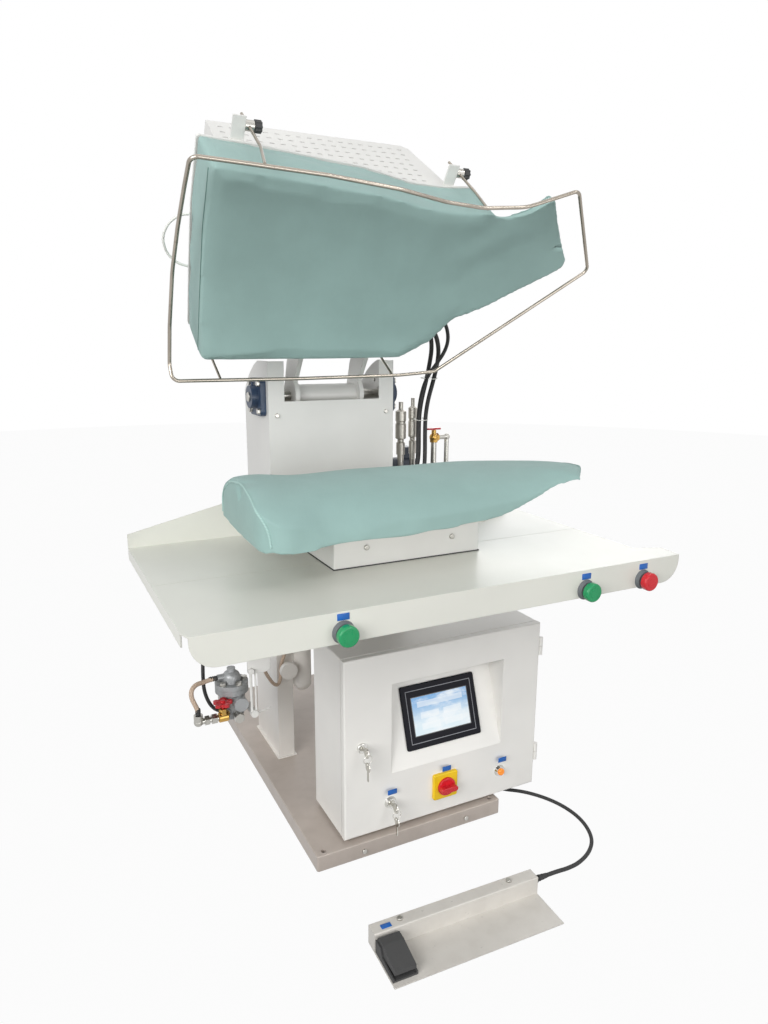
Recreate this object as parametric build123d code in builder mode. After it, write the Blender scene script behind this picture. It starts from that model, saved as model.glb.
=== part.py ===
from build123d import *
import os
from math import cos, radians, sin, sqrt, tan

# Garment press: a padded shoulder buck on a wide table, a padded head that swings down onto it,
# a control cabinet under the table and a foot pedal on a cable.
#
# Millimetres. X is to the operator's right, Y to the back, Z up. The origin is on the floor, in the
# centre of the base. The head is drawn closed, lying on the buck, and is swung open at the end.

os.makedirs("parts", exist_ok=True)

UP = (Align.CENTER, Align.CENTER, Align.MIN)
DOWN = (Align.CENTER, Align.CENTER, Align.MAX)

# General stock and fits
sheet = 3.0
thin_sheet = 2.0
hole_clearance = 0.2
running_fit = 0.05
air_gap = 0.5

# Fasteners: one pan-head screw and one hex bolt are used all over
screw_shank = 6.0
screw_head = 12.0
screw_head_height = 4.0
screw_reach = 7.0
bolt_shank = 8.0
bolt_across_flats = 13.0
bolt_head_height = 5.5
bolt_washer = 16.0
bolt_washer_thickness = 1.6
bolt_reach = 26.0

# Base tray, a folded sheet that lies on the floor
base_width = 492.0
base_depth = 880.0
base_height = 38.0
base_bend = 5.0
anchor_spacing_x = 450.0
anchor_spacing_y = 850.0
anchor_hole = 12.0
anchor_sleeve = 20.0
base_screw_height = 16.0
base_screw_xs = (-130.0, 146.0)

# Frame: two tall legs with an arm on each that carries the table
leg_width = 44.0
leg_depth = 189.0
leg_wall = 3.0
leg_spacing = 334.0
leg_front_y = -15.0
arm_height = 30.0
arm_front_y = -610.0
arm_back_y = 240.0
cap_diameter = 46.0
cap_length = 38.0
cap_thickness = 14.0
cap_neck = 22.0
cap_height = 307.0
foot_plate_margin = 5.0
foot_plate_thickness = 3.0
tank_x = -116.0
tank_y = -10.0
tank_radius = 25.0
tank_bottom = 228.0
tank_lug_heights = (330.0, 610.0)
tank_lug_height = 26.0

# Table
table_height = 700.0
table_front_y = -662.0
table_rear_y = -75.0
table_left_x = -552.0
table_right_x = 490.0
strip_half_width = 544.0
strip_rear_y = -603.0
strip_shoulder_y = -577.0
strip_corner_x = 551.0
lip_height = 60.0
lip_corner = 48.0
side_flange = 26.0
bend_line_y = -376.0
bend_groove = 1.2
splash_end_height = 32.0
splash_shoulder_x = 349.0
splash_shoulder_height = 79.0
splash_centre_height = 116.0

# Buck pedestal, a folded box on a black gasket
pedestal_width = 354.0
pedestal_depth = 152.0
pedestal_x = -20.0
pedestal_y = -362.0
pedestal_top = 787.0
gasket_thickness = 2.0
gasket_margin = 1.5
pedestal_screw_height = 41.0
pedestal_screw_xs = (-123.0, 86.0)

# Buck
buck_left_x = -376.0
buck_hem = 785.0
buck_crown = 888.0
buck_centre_y = -360.0
buck_half_depth = 185.0
buck_shoulder_x = 150.0
nose_mid_x = 250.0
nose_end_x = 446.0
chest_thickness = 18.0
chest_margin = 34.0
chest_right_x = 130.0

# Hinge and head; the angles turn about the hinge line
hinge_y = 90.0
hinge_z = 1020.0
open_angle = 54.0
head_gap = 4.0
head_back = 1003.0
head_rim = 864.0
nose_thickness = 38.0
head_plate_thickness = 6.0
head_plate_margin = 6.0
face_half_depth = 298.0
face_base = 800.0

# Hood over the levers, a perforated sheet cover
hood_left_x = -335.0
hood_right_x = 177.0
hood_top_right_x = 144.0
hood_front_y = -500.0
hood_back_y = -150.0
hood_height = 209.0
hood_chamfer = 16.0
slot_pitch = 25.0
slot_length = 11.0
slot_width = 4.0
slot_columns = 18
slot_rows = 7

# Lever arms and shaft
cheek_gap = 170.0
cheek_thickness = 12.0
hub_radius = 48.0
hub_tube = 58.0
shaft_diameter = 25.0
shaft_length = 424.0
lever_toe_y = -420.0
lever_lift = 7.0
lever_back = 80.0
tail_length = 78.0
tail_radius = 26.0
tail_pin = 16.0

# Column
column_width = 354.0
column_front_y = 25.5
column_back_y = 227.0
column_top = 1111.0
column_wall = 8.0
column_flange = 38.0
cover_sheet = 2.5
notch_width = 268.0
notch_bottom = 1010.0
rear_cover_top = 1070.0
column_screw_x = 155.0
column_screw_height = 975.0
rear_screw_heights = (800.0, 1000.0)

# Flange bearings
bearing_size = 95.0
bearing_flange = 14.0
bearing_corner = 12.0
bearing_boss = 62.0
bearing_height = 31.0
bearing_bolt_spacing = 70.0
shaft_opening = 44.0

# Guard bar round the head
guard_diameter = 8.0
strut_diameter = 6.0
strut_offset = 20.0
bracket_width = 26.0
bracket_reach = 39.0
bracket_overlap = 15.0
bracket_sheet = 4.0
clamp_diameter = 20.0
clamp_length = 18.0
clamp_rise = 8.0
strut_proud = 52.0
knob_diameter = 24.0
knob_length = 14.0
knob_spindle = 8.0
knob_seat = 5.0
rear_tab_width = 20.0
rear_tab_length = 60.0

# Control cabinet
cabinet_left_x = -174.0
cabinet_right_x = 358.0
cabinet_front_y = -427.0
cabinet_back_y = -252.0
cabinet_bottom = 46.0
cabinet_top = 487.0
door_depth = 16.0
door_gap = 2.0
cabinet_bend = 4.0
door_edge_gap = 0.5
cabinet_return = 22.0
recess_left_x = -55.0
recess_right_x = 250.0
recess_bottom = 187.0
recess_top = 411.0
recess_angle = 18.7
door_barrel = 12.0
door_pin = 6.0
door_knuckle = 22.0
door_knuckle_heights = (110.0, 400.0)
spacer_diameter = 30.0

# Devices on the door
screen_unit_width = 204.6
screen_unit_height = 150.0
screen_unit_x = 95.0
screen_unit_up = 113.0
screen_bezel = 6.0
screen_body_depth = 34.0
screen_body_margin = 6.0
screen_width = 156.0
screen_height = 92.0
screen_rise = 0.6
lock_x = -130.0
lock_height = 272.0
lock_rosette = 24.0
lock_barrel = 19.0
lock_core = 12.0
key_bow = 24.0
key_thickness = 2.0
key_hole = 3.0
ring_radius = 10.0
ring_wire = 0.8
ring_outer = 30.0
ring_proud = 7.0
ring_core = 18.0
ring_body_depth = 38.0
key_switch_x = -57.0
key_switch_height = 113.0
lamp_x = 251.0
lamp_height = 110.0
isolator_x = 89.0
isolator_height = 119.0
isolator_plate_size = 66.0
isolator_plate_depth = 9.0
isolator_knob_diameter = 46.0
isolator_knob_depth = 16.0
isolator_grip = 14.0
isolator_spindle = 10.0

# Push-buttons in the table lip: place along X and height
button_places = {
    "green_button_left": (-274.0, 661.0),
    "green_button_right": (278.0, 657.0),
    "red_button": (438.0, 657.0),
}
button_cap = 40.0
button_cap_depth = 13.0
button_stem = 12.0
button_collar = 44.0
button_collar_depth = 8.0
button_travel = 6.0
button_neck = 22.0
button_box = 30.0
button_box_depth = 42.0

# Foot pedal, turned a little about its own centre
pedal_x = -38.0
pedal_y = -691.0
pedal_turn = -2.0
pedal_length = 384.0
pedal_box_depth = 30.0
pedal_box_height = 42.0
pedal_plate_thickness = 2.0
pedal_plate_depth = 122.0
switch_width = 52.0
switch_depth = 80.0
switch_wall = 3.0
switch_floor = 4.0
switch_side_height = 15.0
switch_lug_height = 30.0
treadle_back_height = 38.0
treadle_front_height = 26.0
treadle_clearance = 0.6
treadle_pin = 5.0
gland_diameter = 16.0
gland_length = 22.0
cable_diameter = 9.0

# Steam trap under the left of the table
trap_x = -345.0
trap_y = -140.0
trap_flange_z = 345.0
trap_flange_radius = 40.0
trap_flange_thickness = 12.0
trap_bolt_circle = 31.0
trap_bolts = 5
trap_joint_gap = 0.4
hanger_sheet = 4.0
hanger_y = -186.0
hanger_rod = 7.0
valve_x = -379.0
valve_y = -183.0
valve_z = 290.0
valve_body = 24.0
wheel_diameter = 46.0
wheel_lobes = 5
wheel_height = 325.0
wheel_spindle = 6.0
wheel_travel = 4.0
elbow_x = -438.0
trap_hose_diameter = 11.0
v_hose_diameter = 9.0

# Services behind the right of the column
header_y = 100.0
header_z = 752.0
header_diameter = 27.0
header_end_x = 404.0
pipe_diameter = 17.0
tall_valve_x = 280.0
short_valve_x = 241.0
ball_valve_x = 352.0
ball_valve_z = 884.0
outlet_x = 396.0
motor_end_x = 327.0
motor_y = 181.0
motor_z = 778.0
motor_diameter = 92.0
head_hose_diameter = 12.0
side_tube_diameter = 5.0
drain_hose_diameter = 9.0
third_hose_diameter = 10.0
nipple_diameter = 7.0
nipple_height = 9.0


# Helpers


def pan_screw():
    """A pan-head screw along Z, its head seated on Z = 0."""
    with BuildPart() as screw:
        Cylinder(screw_head / 2, screw_head_height, align=UP)
        fillet(screw.edges().group_by(Axis.Z)[-1], screw_head_height / 2.5)
        Cylinder(screw_shank / 2, screw_reach, align=DOWN)
    return screw.part


def hex_bolt():
    """A hex bolt with its washer along Z, the washer seated on Z = 0."""
    with BuildPart() as bolt:
        Cylinder(bolt_washer / 2, bolt_washer_thickness, align=UP)
        with BuildSketch(Plane.XY.offset(bolt_washer_thickness)):
            RegularPolygon(bolt_across_flats / 2, 6, major_radius=False)
        extrude(amount=bolt_head_height)
        Cylinder(bolt_shank / 2, bolt_reach, align=DOWN)
    return bolt.part


def corner_radii(points, largest):
    """Radii for a cord's corners: each as large as the two runs beside it allow."""
    radii = []
    for before, corner, after in zip(points, points[1:], points[2:]):
        run_in = Vector(*corner) - Vector(*before)
        run_out = Vector(*after) - Vector(*corner)
        half_turn = radians(run_in.get_angle(run_out)) / 2
        radii.append(min(0.45 * min(run_in.length, run_out.length) / tan(half_turn), largest))
    return radii


def cord(points, diameter, largest=2000.0):
    """A round cord along straight runs joined by arcs."""
    radii = corner_radii(points, largest)
    with BuildPart() as tube:
        with BuildLine() as route:
            FilletPolyline(*points, radius=radii)
        with BuildSketch(Plane(origin=route.line @ 0, z_dir=route.line % 0)):
            Circle(diameter / 2)
        sweep()
    return tube.part, radii


def facing(x, y, z, toward):
    """A plane at a point whose normal is the direction given."""
    return Plane(origin=(x, y, z), z_dir=toward)


FRONT = (0, -1, 0)
BACK = (0, 1, 0)
LEFT = (-1, 0, 0)
RIGHT = (1, 0, 0)
BELOW = (0, 0, -1)

pieces = {}

# Base

base_front_y = -base_depth / 2
base_screw_planes = [facing(x, base_front_y, base_screw_height, FRONT) for x in base_screw_xs]

with BuildPart() as base_tray:
    Box(base_width, base_depth, base_height, align=UP)
    fillet(base_tray.edges().filter_by(Axis.Z), base_bend)
    fillet(base_tray.faces().sort_by(Axis.Z)[-1].edges(), base_bend / 2)
    offset(amount=-sheet, openings=base_tray.faces().sort_by(Axis.Z)[0])
    with GridLocations(anchor_spacing_x, anchor_spacing_y, 2, 2):
        Cylinder(anchor_sleeve / 2, base_height - 1, align=UP)
    with Locations(Plane.XY.offset(base_height)):
        with GridLocations(anchor_spacing_x, anchor_spacing_y, 2, 2):
            Hole(anchor_hole / 2)
    with Locations(*base_screw_planes):
        Hole(screw_shank / 2 + hole_clearance, depth=2 * sheet)
pieces["base_tray"] = base_tray

leg_x = leg_spacing / 2
arm_top = table_height - sheet
leg_top = arm_top - arm_height

with BuildPart() as frame:
    with BuildSketch(Plane.XY.offset(base_height)):
        with Locations((0, leg_front_y + leg_depth / 2)):
            with GridLocations(leg_spacing, 0, 2, 1):
                Rectangle(leg_width, leg_depth)
                Rectangle(leg_width - 2 * leg_wall, leg_depth - 2 * leg_wall, mode=Mode.SUBTRACT)
    extrude(amount=leg_top - base_height)
    with BuildSketch(Plane.XZ.offset(-arm_front_y)):
        with Locations((0, leg_top + arm_height / 2)):
            with GridLocations(leg_spacing, 0, 2, 1):
                Rectangle(leg_width, arm_height)
                Rectangle(leg_width - 2 * leg_wall, arm_height - 2 * leg_wall, mode=Mode.SUBTRACT)
    extrude(amount=-(arm_back_y - arm_front_y))
    with Locations((0, leg_front_y + leg_depth / 2, base_height)):
        with GridLocations(leg_spacing, 0, 2, 1):
            Box(leg_width + 2 * foot_plate_margin, leg_depth + 2 * foot_plate_margin,
                foot_plate_thickness, align=UP)
    with Locations(facing(-leg_x, leg_front_y, cap_height, FRONT)):
        Cylinder(cap_neck / 2, cap_length, align=UP)
    with Locations(facing(-leg_x, leg_front_y - cap_length, cap_height, FRONT)):
        Cylinder(cap_diameter / 2, cap_thickness, align=DOWN)
    # A slim air tank with round ends, held to the left leg by two lugs
    with Locations((tank_x, tank_y, tank_bottom + tank_radius)):
        Sphere(tank_radius)
        Cylinder(tank_radius, leg_top - tank_bottom - tank_radius, align=UP)
    lug_left_x = -leg_x + leg_width / 2 - 1
    for z in tank_lug_heights:
        with Locations((lug_left_x, tank_y, z)):
            Box(tank_x - lug_left_x, tank_radius / 2, tank_lug_height,
                align=(Align.MIN, Align.CENTER, Align.CENTER))
pieces["frame"] = frame

# Table

button_bore = button_neck / 2 + hole_clearance
pedestal_left_x = pedestal_x - pedestal_width / 2

with BuildPart() as table_top:
    with BuildSketch(Plane.XY.offset(table_height - sheet)):
        with BuildLine():
            Polyline(
                (table_left_x, table_rear_y),
                (table_right_x, table_rear_y),
                (table_right_x, strip_shoulder_y),
                (strip_corner_x, strip_rear_y),
                (strip_half_width, table_front_y),
                (-strip_half_width, table_front_y),
                (table_left_x, table_front_y + side_flange),
                close=True,
            )
        make_face()
    extrude(amount=sheet)
    with BuildSketch(Plane.XZ.offset(-table_front_y)):
        with BuildLine():
            FilletPolyline(
                (-strip_half_width, table_height),
                (-strip_half_width, table_height - lip_height),
                (strip_half_width, table_height - lip_height),
                (strip_half_width, table_height),
                radius=lip_corner,
            )
            Line((strip_half_width, table_height), (-strip_half_width, table_height))
        make_face()
        with Locations(*[(x, z) for x, z in button_places.values()]):
            Circle(button_bore, mode=Mode.SUBTRACT)
    extrude(amount=-sheet)
    side_run = table_rear_y - (table_front_y + side_flange)
    with Locations((table_left_x + sheet / 2, table_rear_y - side_run / 2, table_height)):
        Box(sheet, side_run, side_flange, align=DOWN)
    right_run = table_rear_y - strip_shoulder_y
    with Locations((table_right_x - sheet / 2, table_rear_y - right_run / 2, table_height)):
        Box(sheet, right_run, side_flange, align=DOWN)
    with Locations(((table_left_x + table_right_x) / 2, bend_line_y, table_height)):
        Box(table_right_x - table_left_x, bend_groove, bend_groove, align=DOWN, mode=Mode.SUBTRACT)
pieces["table_top"] = table_top

with BuildPart() as table_backsplash:
    with BuildSketch(Plane.XZ.offset(-table_rear_y)):
        with BuildLine():
            Polyline(
                (table_left_x, table_height),
                (table_left_x, table_height + splash_end_height),
                (-splash_shoulder_x, table_height + splash_shoulder_height),
                (-column_width / 2, table_height + splash_centre_height),
                (column_width / 2, table_height + splash_centre_height),
                (splash_shoulder_x, table_height + splash_shoulder_height),
                (table_right_x, table_height + splash_end_height),
                (table_right_x, table_height),
                close=True,
            )
        make_face()
    extrude(amount=sheet)
pieces["table_backsplash"] = table_backsplash

# Pedestal and buck

pedestal_bottom = table_height + gasket_thickness
pedestal_front_y = pedestal_y - pedestal_depth / 2
pedestal_screw_planes = [
    facing(x, pedestal_front_y, table_height + pedestal_screw_height, FRONT) for x in pedestal_screw_xs
]

with BuildPart() as pedestal:
    with Locations((pedestal_x, pedestal_y, pedestal_bottom)):
        Box(pedestal_width, pedestal_depth, pedestal_top - pedestal_bottom, align=UP)
    fillet(pedestal.edges().filter_by(Axis.Z), sheet)
    offset(amount=-thin_sheet, openings=pedestal.faces().sort_by(Axis.Z)[0])
    with Locations(*pedestal_screw_planes):
        Hole(screw_shank / 2 + hole_clearance, depth=2 * sheet)
pieces["pedestal"] = pedestal

with BuildPart() as pedestal_gasket:
    with BuildSketch(Plane.XY.offset(table_height)):
        with Locations((pedestal_x, pedestal_y)):
            Rectangle(pedestal_width + 2 * gasket_margin, pedestal_depth + 2 * gasket_margin)
            Rectangle(pedestal_width - 24, pedestal_depth - 24, mode=Mode.SUBTRACT)
    extrude(amount=gasket_thickness)
pieces["pedestal_gasket"] = pedestal_gasket

# Each cross-section of the buck is a half ellipse: place along X, centre, half depth, hem, crown
buck_sections = (
    (buck_left_x, buck_centre_y, buck_half_depth, buck_hem, buck_crown),
    (-255, buck_centre_y, buck_half_depth, buck_hem, buck_crown),
    (-135, buck_centre_y, buck_half_depth, buck_hem, buck_crown),
    (-20, buck_centre_y, buck_half_depth, buck_hem, buck_crown),
    (80, buck_centre_y, buck_half_depth, buck_hem + 1, buck_crown),
    (160, buck_centre_y - 3, buck_half_depth - 5, buck_hem + 11, buck_crown),
    (230, buck_centre_y - 16, buck_half_depth - 27, buck_hem + 34, buck_crown - 1),
    (300, buck_centre_y - 39, buck_half_depth - 55, buck_hem + 62, buck_crown - 2),
    (370, buck_centre_y - 76, buck_half_depth - 83, buck_hem + 77, buck_crown - 3),
    (nose_end_x, buck_centre_y - 116, buck_half_depth - 105, buck_hem + 85, buck_crown - 4),
)


def half_ellipse(x, centre_y, half_depth, hem, crown):
    """Draw a half ellipse that stands on its chord, on a plane across X."""
    with BuildSketch(Plane(origin=(x, centre_y, hem), x_dir=(0, 1, 0), z_dir=(1, 0, 0))) as section:
        with BuildLine():
            arch = EllipticalCenterArc((0, 0), half_depth, crown - hem, start_angle=0, arc_size=180)
            Line(arch @ 1, arch @ 0)
        make_face()
    return section.sketch


with BuildPart() as buck_pad:
    loft([half_ellipse(*row) for row in buck_sections])
    with BuildSketch(Plane.XY.offset(buck_hem - 5)):
        with BuildLine():
            FilletPolyline(
                (buck_left_x, buck_centre_y - buck_half_depth),
                (100, buck_centre_y - 175),
                (nose_mid_x, buck_centre_y - 172),
                (350, buck_centre_y - 193),
                (nose_end_x, buck_centre_y - 74),
                (buck_shoulder_x + 10, buck_centre_y + buck_half_depth),
                (buck_left_x + 19, buck_centre_y + buck_half_depth),
                radius=[60, 60, 22, 24, 60, 24, 14],
                close=True,
            )
        make_face()
    extrude(amount=buck_crown - buck_hem + 10, mode=Mode.INTERSECT)
    chest_depth = 2 * (buck_half_depth - chest_margin)
    chest_length = chest_right_x - (buck_left_x + chest_margin)
    chest_x = chest_right_x - chest_length / 2
    with Locations((chest_x, buck_centre_y, buck_hem - 1)):
        Box(chest_length, chest_depth, chest_thickness + 3, align=UP, mode=Mode.SUBTRACT)
pieces["buck_pad"] = buck_pad

with BuildPart() as buck_chest:
    with Locations((chest_x, buck_centre_y, pedestal_top)):
        Box(chest_length - 2 * air_gap, chest_depth - 2 * air_gap, chest_thickness - air_gap, align=UP)
    fillet(buck_chest.edges().filter_by(Axis.Z), 10)
pieces["buck_chest"] = buck_chest

# Column

with BuildPart() as column_side:
    with BuildSketch(Plane.XY.offset(arm_top)):
        with BuildLine():
            outer = column_width / 2
            front = column_front_y + cover_sheet
            Polyline(
                (outer - column_flange, front),
                (outer, front),
                (outer, column_back_y),
                (outer - column_flange, column_back_y),
                (outer - column_flange, column_back_y - column_wall),
                (outer - column_wall, column_back_y - column_wall),
                (outer - column_wall, front + column_wall),
                (outer - column_flange, front + column_wall),
                close=True,
            )
        make_face()
    extrude(amount=column_top - arm_top)
    with BuildSketch(Plane.YZ.offset(column_width / 2 + 1)):
        with BuildLine():
            rear_arc = ThreePointArc((105, column_top), (165, 1086), (column_back_y, 1030))
            Polyline(rear_arc @ 1, (column_back_y + 5, 1030), (column_back_y + 5, column_top + 5),
                     (105, column_top + 5), rear_arc @ 0)
        make_face()
    extrude(amount=-(column_flange + 2), mode=Mode.SUBTRACT)
    with Locations(facing(column_width / 2, hinge_y, hinge_z, RIGHT)):
        Hole(shaft_opening / 2, depth=2 * column_wall)
        with GridLocations(bearing_bolt_spacing, bearing_bolt_spacing, 2, 2):
            Hole(bolt_shank / 2 + hole_clearance, depth=2 * column_wall)
    with Locations(facing(column_screw_x, front, column_screw_height, FRONT)):
        Hole(screw_shank / 2 + hole_clearance, depth=2 * column_wall)
    with Locations(*[facing(column_screw_x, column_back_y, z, BACK) for z in rear_screw_heights]):
        Hole(screw_shank / 2 + hole_clearance, depth=2 * column_wall)

with BuildPart() as column_sides:
    add(column_side.part)
    mirror(about=Plane.YZ)
pieces["column_sides"] = column_sides

column_screw_planes = [
    facing(side * column_screw_x, column_front_y, column_screw_height, FRONT) for side in (-1, 1)
]
rear_screw_planes = [
    facing(side * column_screw_x, column_back_y + cover_sheet, z, BACK)
    for side in (-1, 1)
    for z in rear_screw_heights
]

with BuildPart() as column_front_cover:
    with BuildSketch(Plane.XZ.offset(-column_front_y)):
        with Locations((0, arm_top)):
            Rectangle(column_width, column_top - arm_top, align=(Align.CENTER, Align.MIN))
        with Locations((0, column_top)):
            Rectangle(notch_width, column_top - notch_bottom, align=(Align.CENTER, Align.MAX),
                      mode=Mode.SUBTRACT)
    extrude(amount=-cover_sheet)
    with Locations(*column_screw_planes):
        Hole(screw_shank / 2 + hole_clearance, depth=2 * cover_sheet)
pieces["column_front_cover"] = column_front_cover

with BuildPart() as column_rear_cover:
    with BuildSketch(Plane.XZ.offset(-column_back_y)):
        with Locations((0, arm_top)):
            Rectangle(column_width, 1030 - arm_top, align=(Align.CENTER, Align.MIN))
    extrude(amount=-cover_sheet)
    with Locations(*rear_screw_planes):
        Hole(screw_shank / 2 + hole_clearance, depth=2 * cover_sheet)
pieces["column_rear_cover"] = column_rear_cover

with BuildPart() as bearing_housing:
    with BuildSketch(facing(column_width / 2, hinge_y, hinge_z, RIGHT)):
        RectangleRounded(bearing_size, bearing_size, bearing_corner)
    extrude(amount=bearing_flange)
    with BuildSketch(facing(column_width / 2, hinge_y, hinge_z, RIGHT)):
        Circle(bearing_boss / 2)
    extrude(amount=bearing_height, taper=4)
    nipple_x = column_width / 2 + bearing_flange + nipple_diameter
    with Locations((nipple_x, hinge_y, hinge_z + bearing_boss / 2 - 2)):
        Cylinder(nipple_diameter / 2, nipple_height, align=UP)
    with Locations(facing(column_width / 2 + bearing_height, hinge_y, hinge_z, RIGHT)):
        Hole(shaft_diameter / 2 + running_fit)
    with Locations(facing(column_width / 2 + bearing_flange, hinge_y, hinge_z, RIGHT)):
        with GridLocations(bearing_bolt_spacing, bearing_bolt_spacing, 2, 2):
            Hole(bolt_shank / 2 + hole_clearance)

with BuildPart() as bearing_housings:
    add(bearing_housing.part)
    mirror(about=Plane.YZ)
pieces["bearing_housings"] = bearing_housings

bearing_bolt_planes = [
    facing(side * (column_width / 2 + bearing_flange), hinge_y + dy, hinge_z + dz, (side, 0, 0))
    for side in (-1, 1)
    for dy in (-bearing_bolt_spacing / 2, bearing_bolt_spacing / 2)
    for dz in (-bearing_bolt_spacing / 2, bearing_bolt_spacing / 2)
]

# Cabinet

body_front_y = cabinet_front_y + door_depth + door_gap
cabinet_width = cabinet_right_x - cabinet_left_x
cabinet_x = (cabinet_right_x + cabinet_left_x) / 2
cabinet_height = cabinet_top - cabinet_bottom
door_axis_x = cabinet_right_x + door_barrel / 2
door_axis_y = cabinet_front_y + door_barrel / 2

with BuildPart() as cabinet_body:
    with Locations((cabinet_x, (body_front_y + cabinet_back_y) / 2, cabinet_bottom)):
        Box(cabinet_width, cabinet_back_y - body_front_y, cabinet_height, align=UP)
    fillet(cabinet_body.edges().filter_by(Axis.Y), cabinet_bend)
    offset(amount=-thin_sheet, openings=cabinet_body.faces().sort_by(Axis.Y)[0])
    with BuildSketch(Plane.XZ.offset(-body_front_y)):
        with Locations((cabinet_x, cabinet_bottom + cabinet_height / 2)):
            Rectangle(cabinet_width - thin_sheet, cabinet_height - thin_sheet)
            Rectangle(cabinet_width - 2 * cabinet_return, cabinet_height - 2 * cabinet_return,
                      mode=Mode.SUBTRACT)
    extrude(amount=-thin_sheet)
    for z in door_knuckle_heights:
        with Locations((door_axis_x, door_axis_y, z)):
            Cylinder(door_barrel / 2, door_knuckle, align=UP)
        with Locations((cabinet_right_x, door_axis_y, z)):
            Box(thin_sheet + 1, body_front_y + 24 - door_axis_y, door_knuckle,
                align=(Align.MIN, Align.MIN, Align.MIN))
        with Locations((door_axis_x, door_axis_y, z + door_knuckle)):
            Hole(door_pin / 2 + running_fit, depth=door_knuckle - 4)
pieces["cabinet_body"] = cabinet_body

recess_height = recess_top - recess_bottom
recess_depth = recess_height * tan(radians(recess_angle))
recess_width = recess_right_x - recess_left_x
recess_plane = Plane(
    origin=((recess_left_x + recess_right_x) / 2, cabinet_front_y, recess_bottom),
    x_dir=(1, 0, 0),
    z_dir=(0, -cos(radians(recess_angle)), sin(radians(recess_angle))),
)
screen_offset_x = screen_unit_x - (recess_left_x + recess_right_x) / 2
door_bottom = cabinet_bottom + door_edge_gap
door_height = cabinet_height - 2 * door_edge_gap
ring_places = ((key_switch_x, key_switch_height), (lamp_x, lamp_height))


def wedge(left, right, grow):
    """The prism of the sloping recess between two places along X, grown outward by a wall."""
    with BuildPart() as prism:
        with BuildSketch(Plane.YZ.offset(left)):
            with BuildLine():
                Polyline(
                    (cabinet_front_y, recess_bottom - grow),
                    (cabinet_front_y + recess_depth + grow, recess_top + grow),
                    (cabinet_front_y, recess_top + grow),
                    close=True,
                )
            make_face()
        extrude(amount=right - left)
    return prism.part


recess_outside = wedge(recess_left_x - thin_sheet, recess_right_x + thin_sheet, thin_sheet)
recess_inside = wedge(recess_left_x, recess_right_x, 0)

with BuildPart() as cabinet_door:
    with Locations((cabinet_x, cabinet_front_y + door_depth / 2, door_bottom)):
        Box(cabinet_width - 2 * door_edge_gap, door_depth, door_height, align=UP)
    fillet(cabinet_door.faces().sort_by(Axis.Y)[0].edges(), cabinet_bend)
    offset(amount=-thin_sheet, openings=cabinet_door.faces().sort_by(Axis.Y)[-1])
    add(recess_outside)
    add(recess_inside, mode=Mode.SUBTRACT)
    with BuildSketch(recess_plane):
        with Locations((screen_offset_x, screen_unit_up)):
            Rectangle(screen_unit_width - 2 * screen_body_margin + 2 * hole_clearance,
                      screen_unit_height - 2 * screen_body_margin + 2 * hole_clearance)
    extrude(amount=-12, mode=Mode.SUBTRACT)
    with Locations(facing(lock_x, cabinet_front_y, lock_height, FRONT)):
        Hole(lock_barrel / 2 + hole_clearance, depth=2 * thin_sheet)
    with Locations(*[facing(x, cabinet_front_y, z, FRONT) for x, z in ring_places]):
        Hole(button_neck / 2 + hole_clearance, depth=2 * thin_sheet)
    with Locations(facing(isolator_x, cabinet_front_y, isolator_height, FRONT)):
        Hole(isolator_spindle / 2 + 1, depth=2 * thin_sheet)
    for z in door_knuckle_heights:
        with Locations((door_axis_x, door_axis_y, z + door_knuckle + door_gap / 2)):
            Cylinder(door_barrel / 2, door_knuckle, align=UP)
            Cylinder(door_pin / 2, door_knuckle - 6, align=DOWN)
        knuckle_z = z + door_knuckle + door_gap / 2
        with Locations((door_axis_x, cabinet_front_y + door_depth / 2 - 2, knuckle_z)):
            Box(door_barrel + 2, thin_sheet, door_knuckle, align=(Align.MAX, Align.CENTER, Align.MIN))
pieces["cabinet_door"] = cabinet_door

spacer_inset_y = 30.0
spacer_xs = (cabinet_left_x + 30, base_width / 2 - 26)
with BuildPart() as cabinet_spacers:
    with Locations(*[(x, y, base_height) for x in spacer_xs
                     for y in (body_front_y + spacer_inset_y, cabinet_back_y - spacer_inset_y)]):
        Cylinder(spacer_diameter / 2, cabinet_bottom - base_height, align=UP)
pieces["cabinet_spacers"] = cabinet_spacers

with BuildPart() as screen_housing:
    with BuildSketch(recess_plane):
        with Locations((screen_offset_x, screen_unit_up)):
            RectangleRounded(screen_unit_width, screen_unit_height, 5)
    extrude(amount=screen_bezel)
    chamfer(screen_housing.faces().sort_by(Axis.Y)[0].edges(), 1.5)
    with BuildSketch(recess_plane):
        with Locations((screen_offset_x, screen_unit_up)):
            Rectangle(screen_unit_width - 2 * screen_body_margin,
                      screen_unit_height - 2 * screen_body_margin)
    extrude(amount=-screen_body_depth)
    with BuildSketch(recess_plane.offset(screen_bezel)):
        with Locations((screen_offset_x, screen_unit_up)):
            Rectangle(screen_width, screen_height)
    extrude(amount=-screen_rise, mode=Mode.SUBTRACT)
pieces["screen_housing"] = screen_housing

with BuildPart() as screen_glass:
    with BuildSketch(recess_plane.offset(screen_bezel - screen_rise)):
        with Locations((screen_offset_x, screen_unit_up)):
            Rectangle(screen_width, screen_height)
    extrude(amount=screen_rise)
pieces["screen_glass"] = screen_glass


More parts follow.
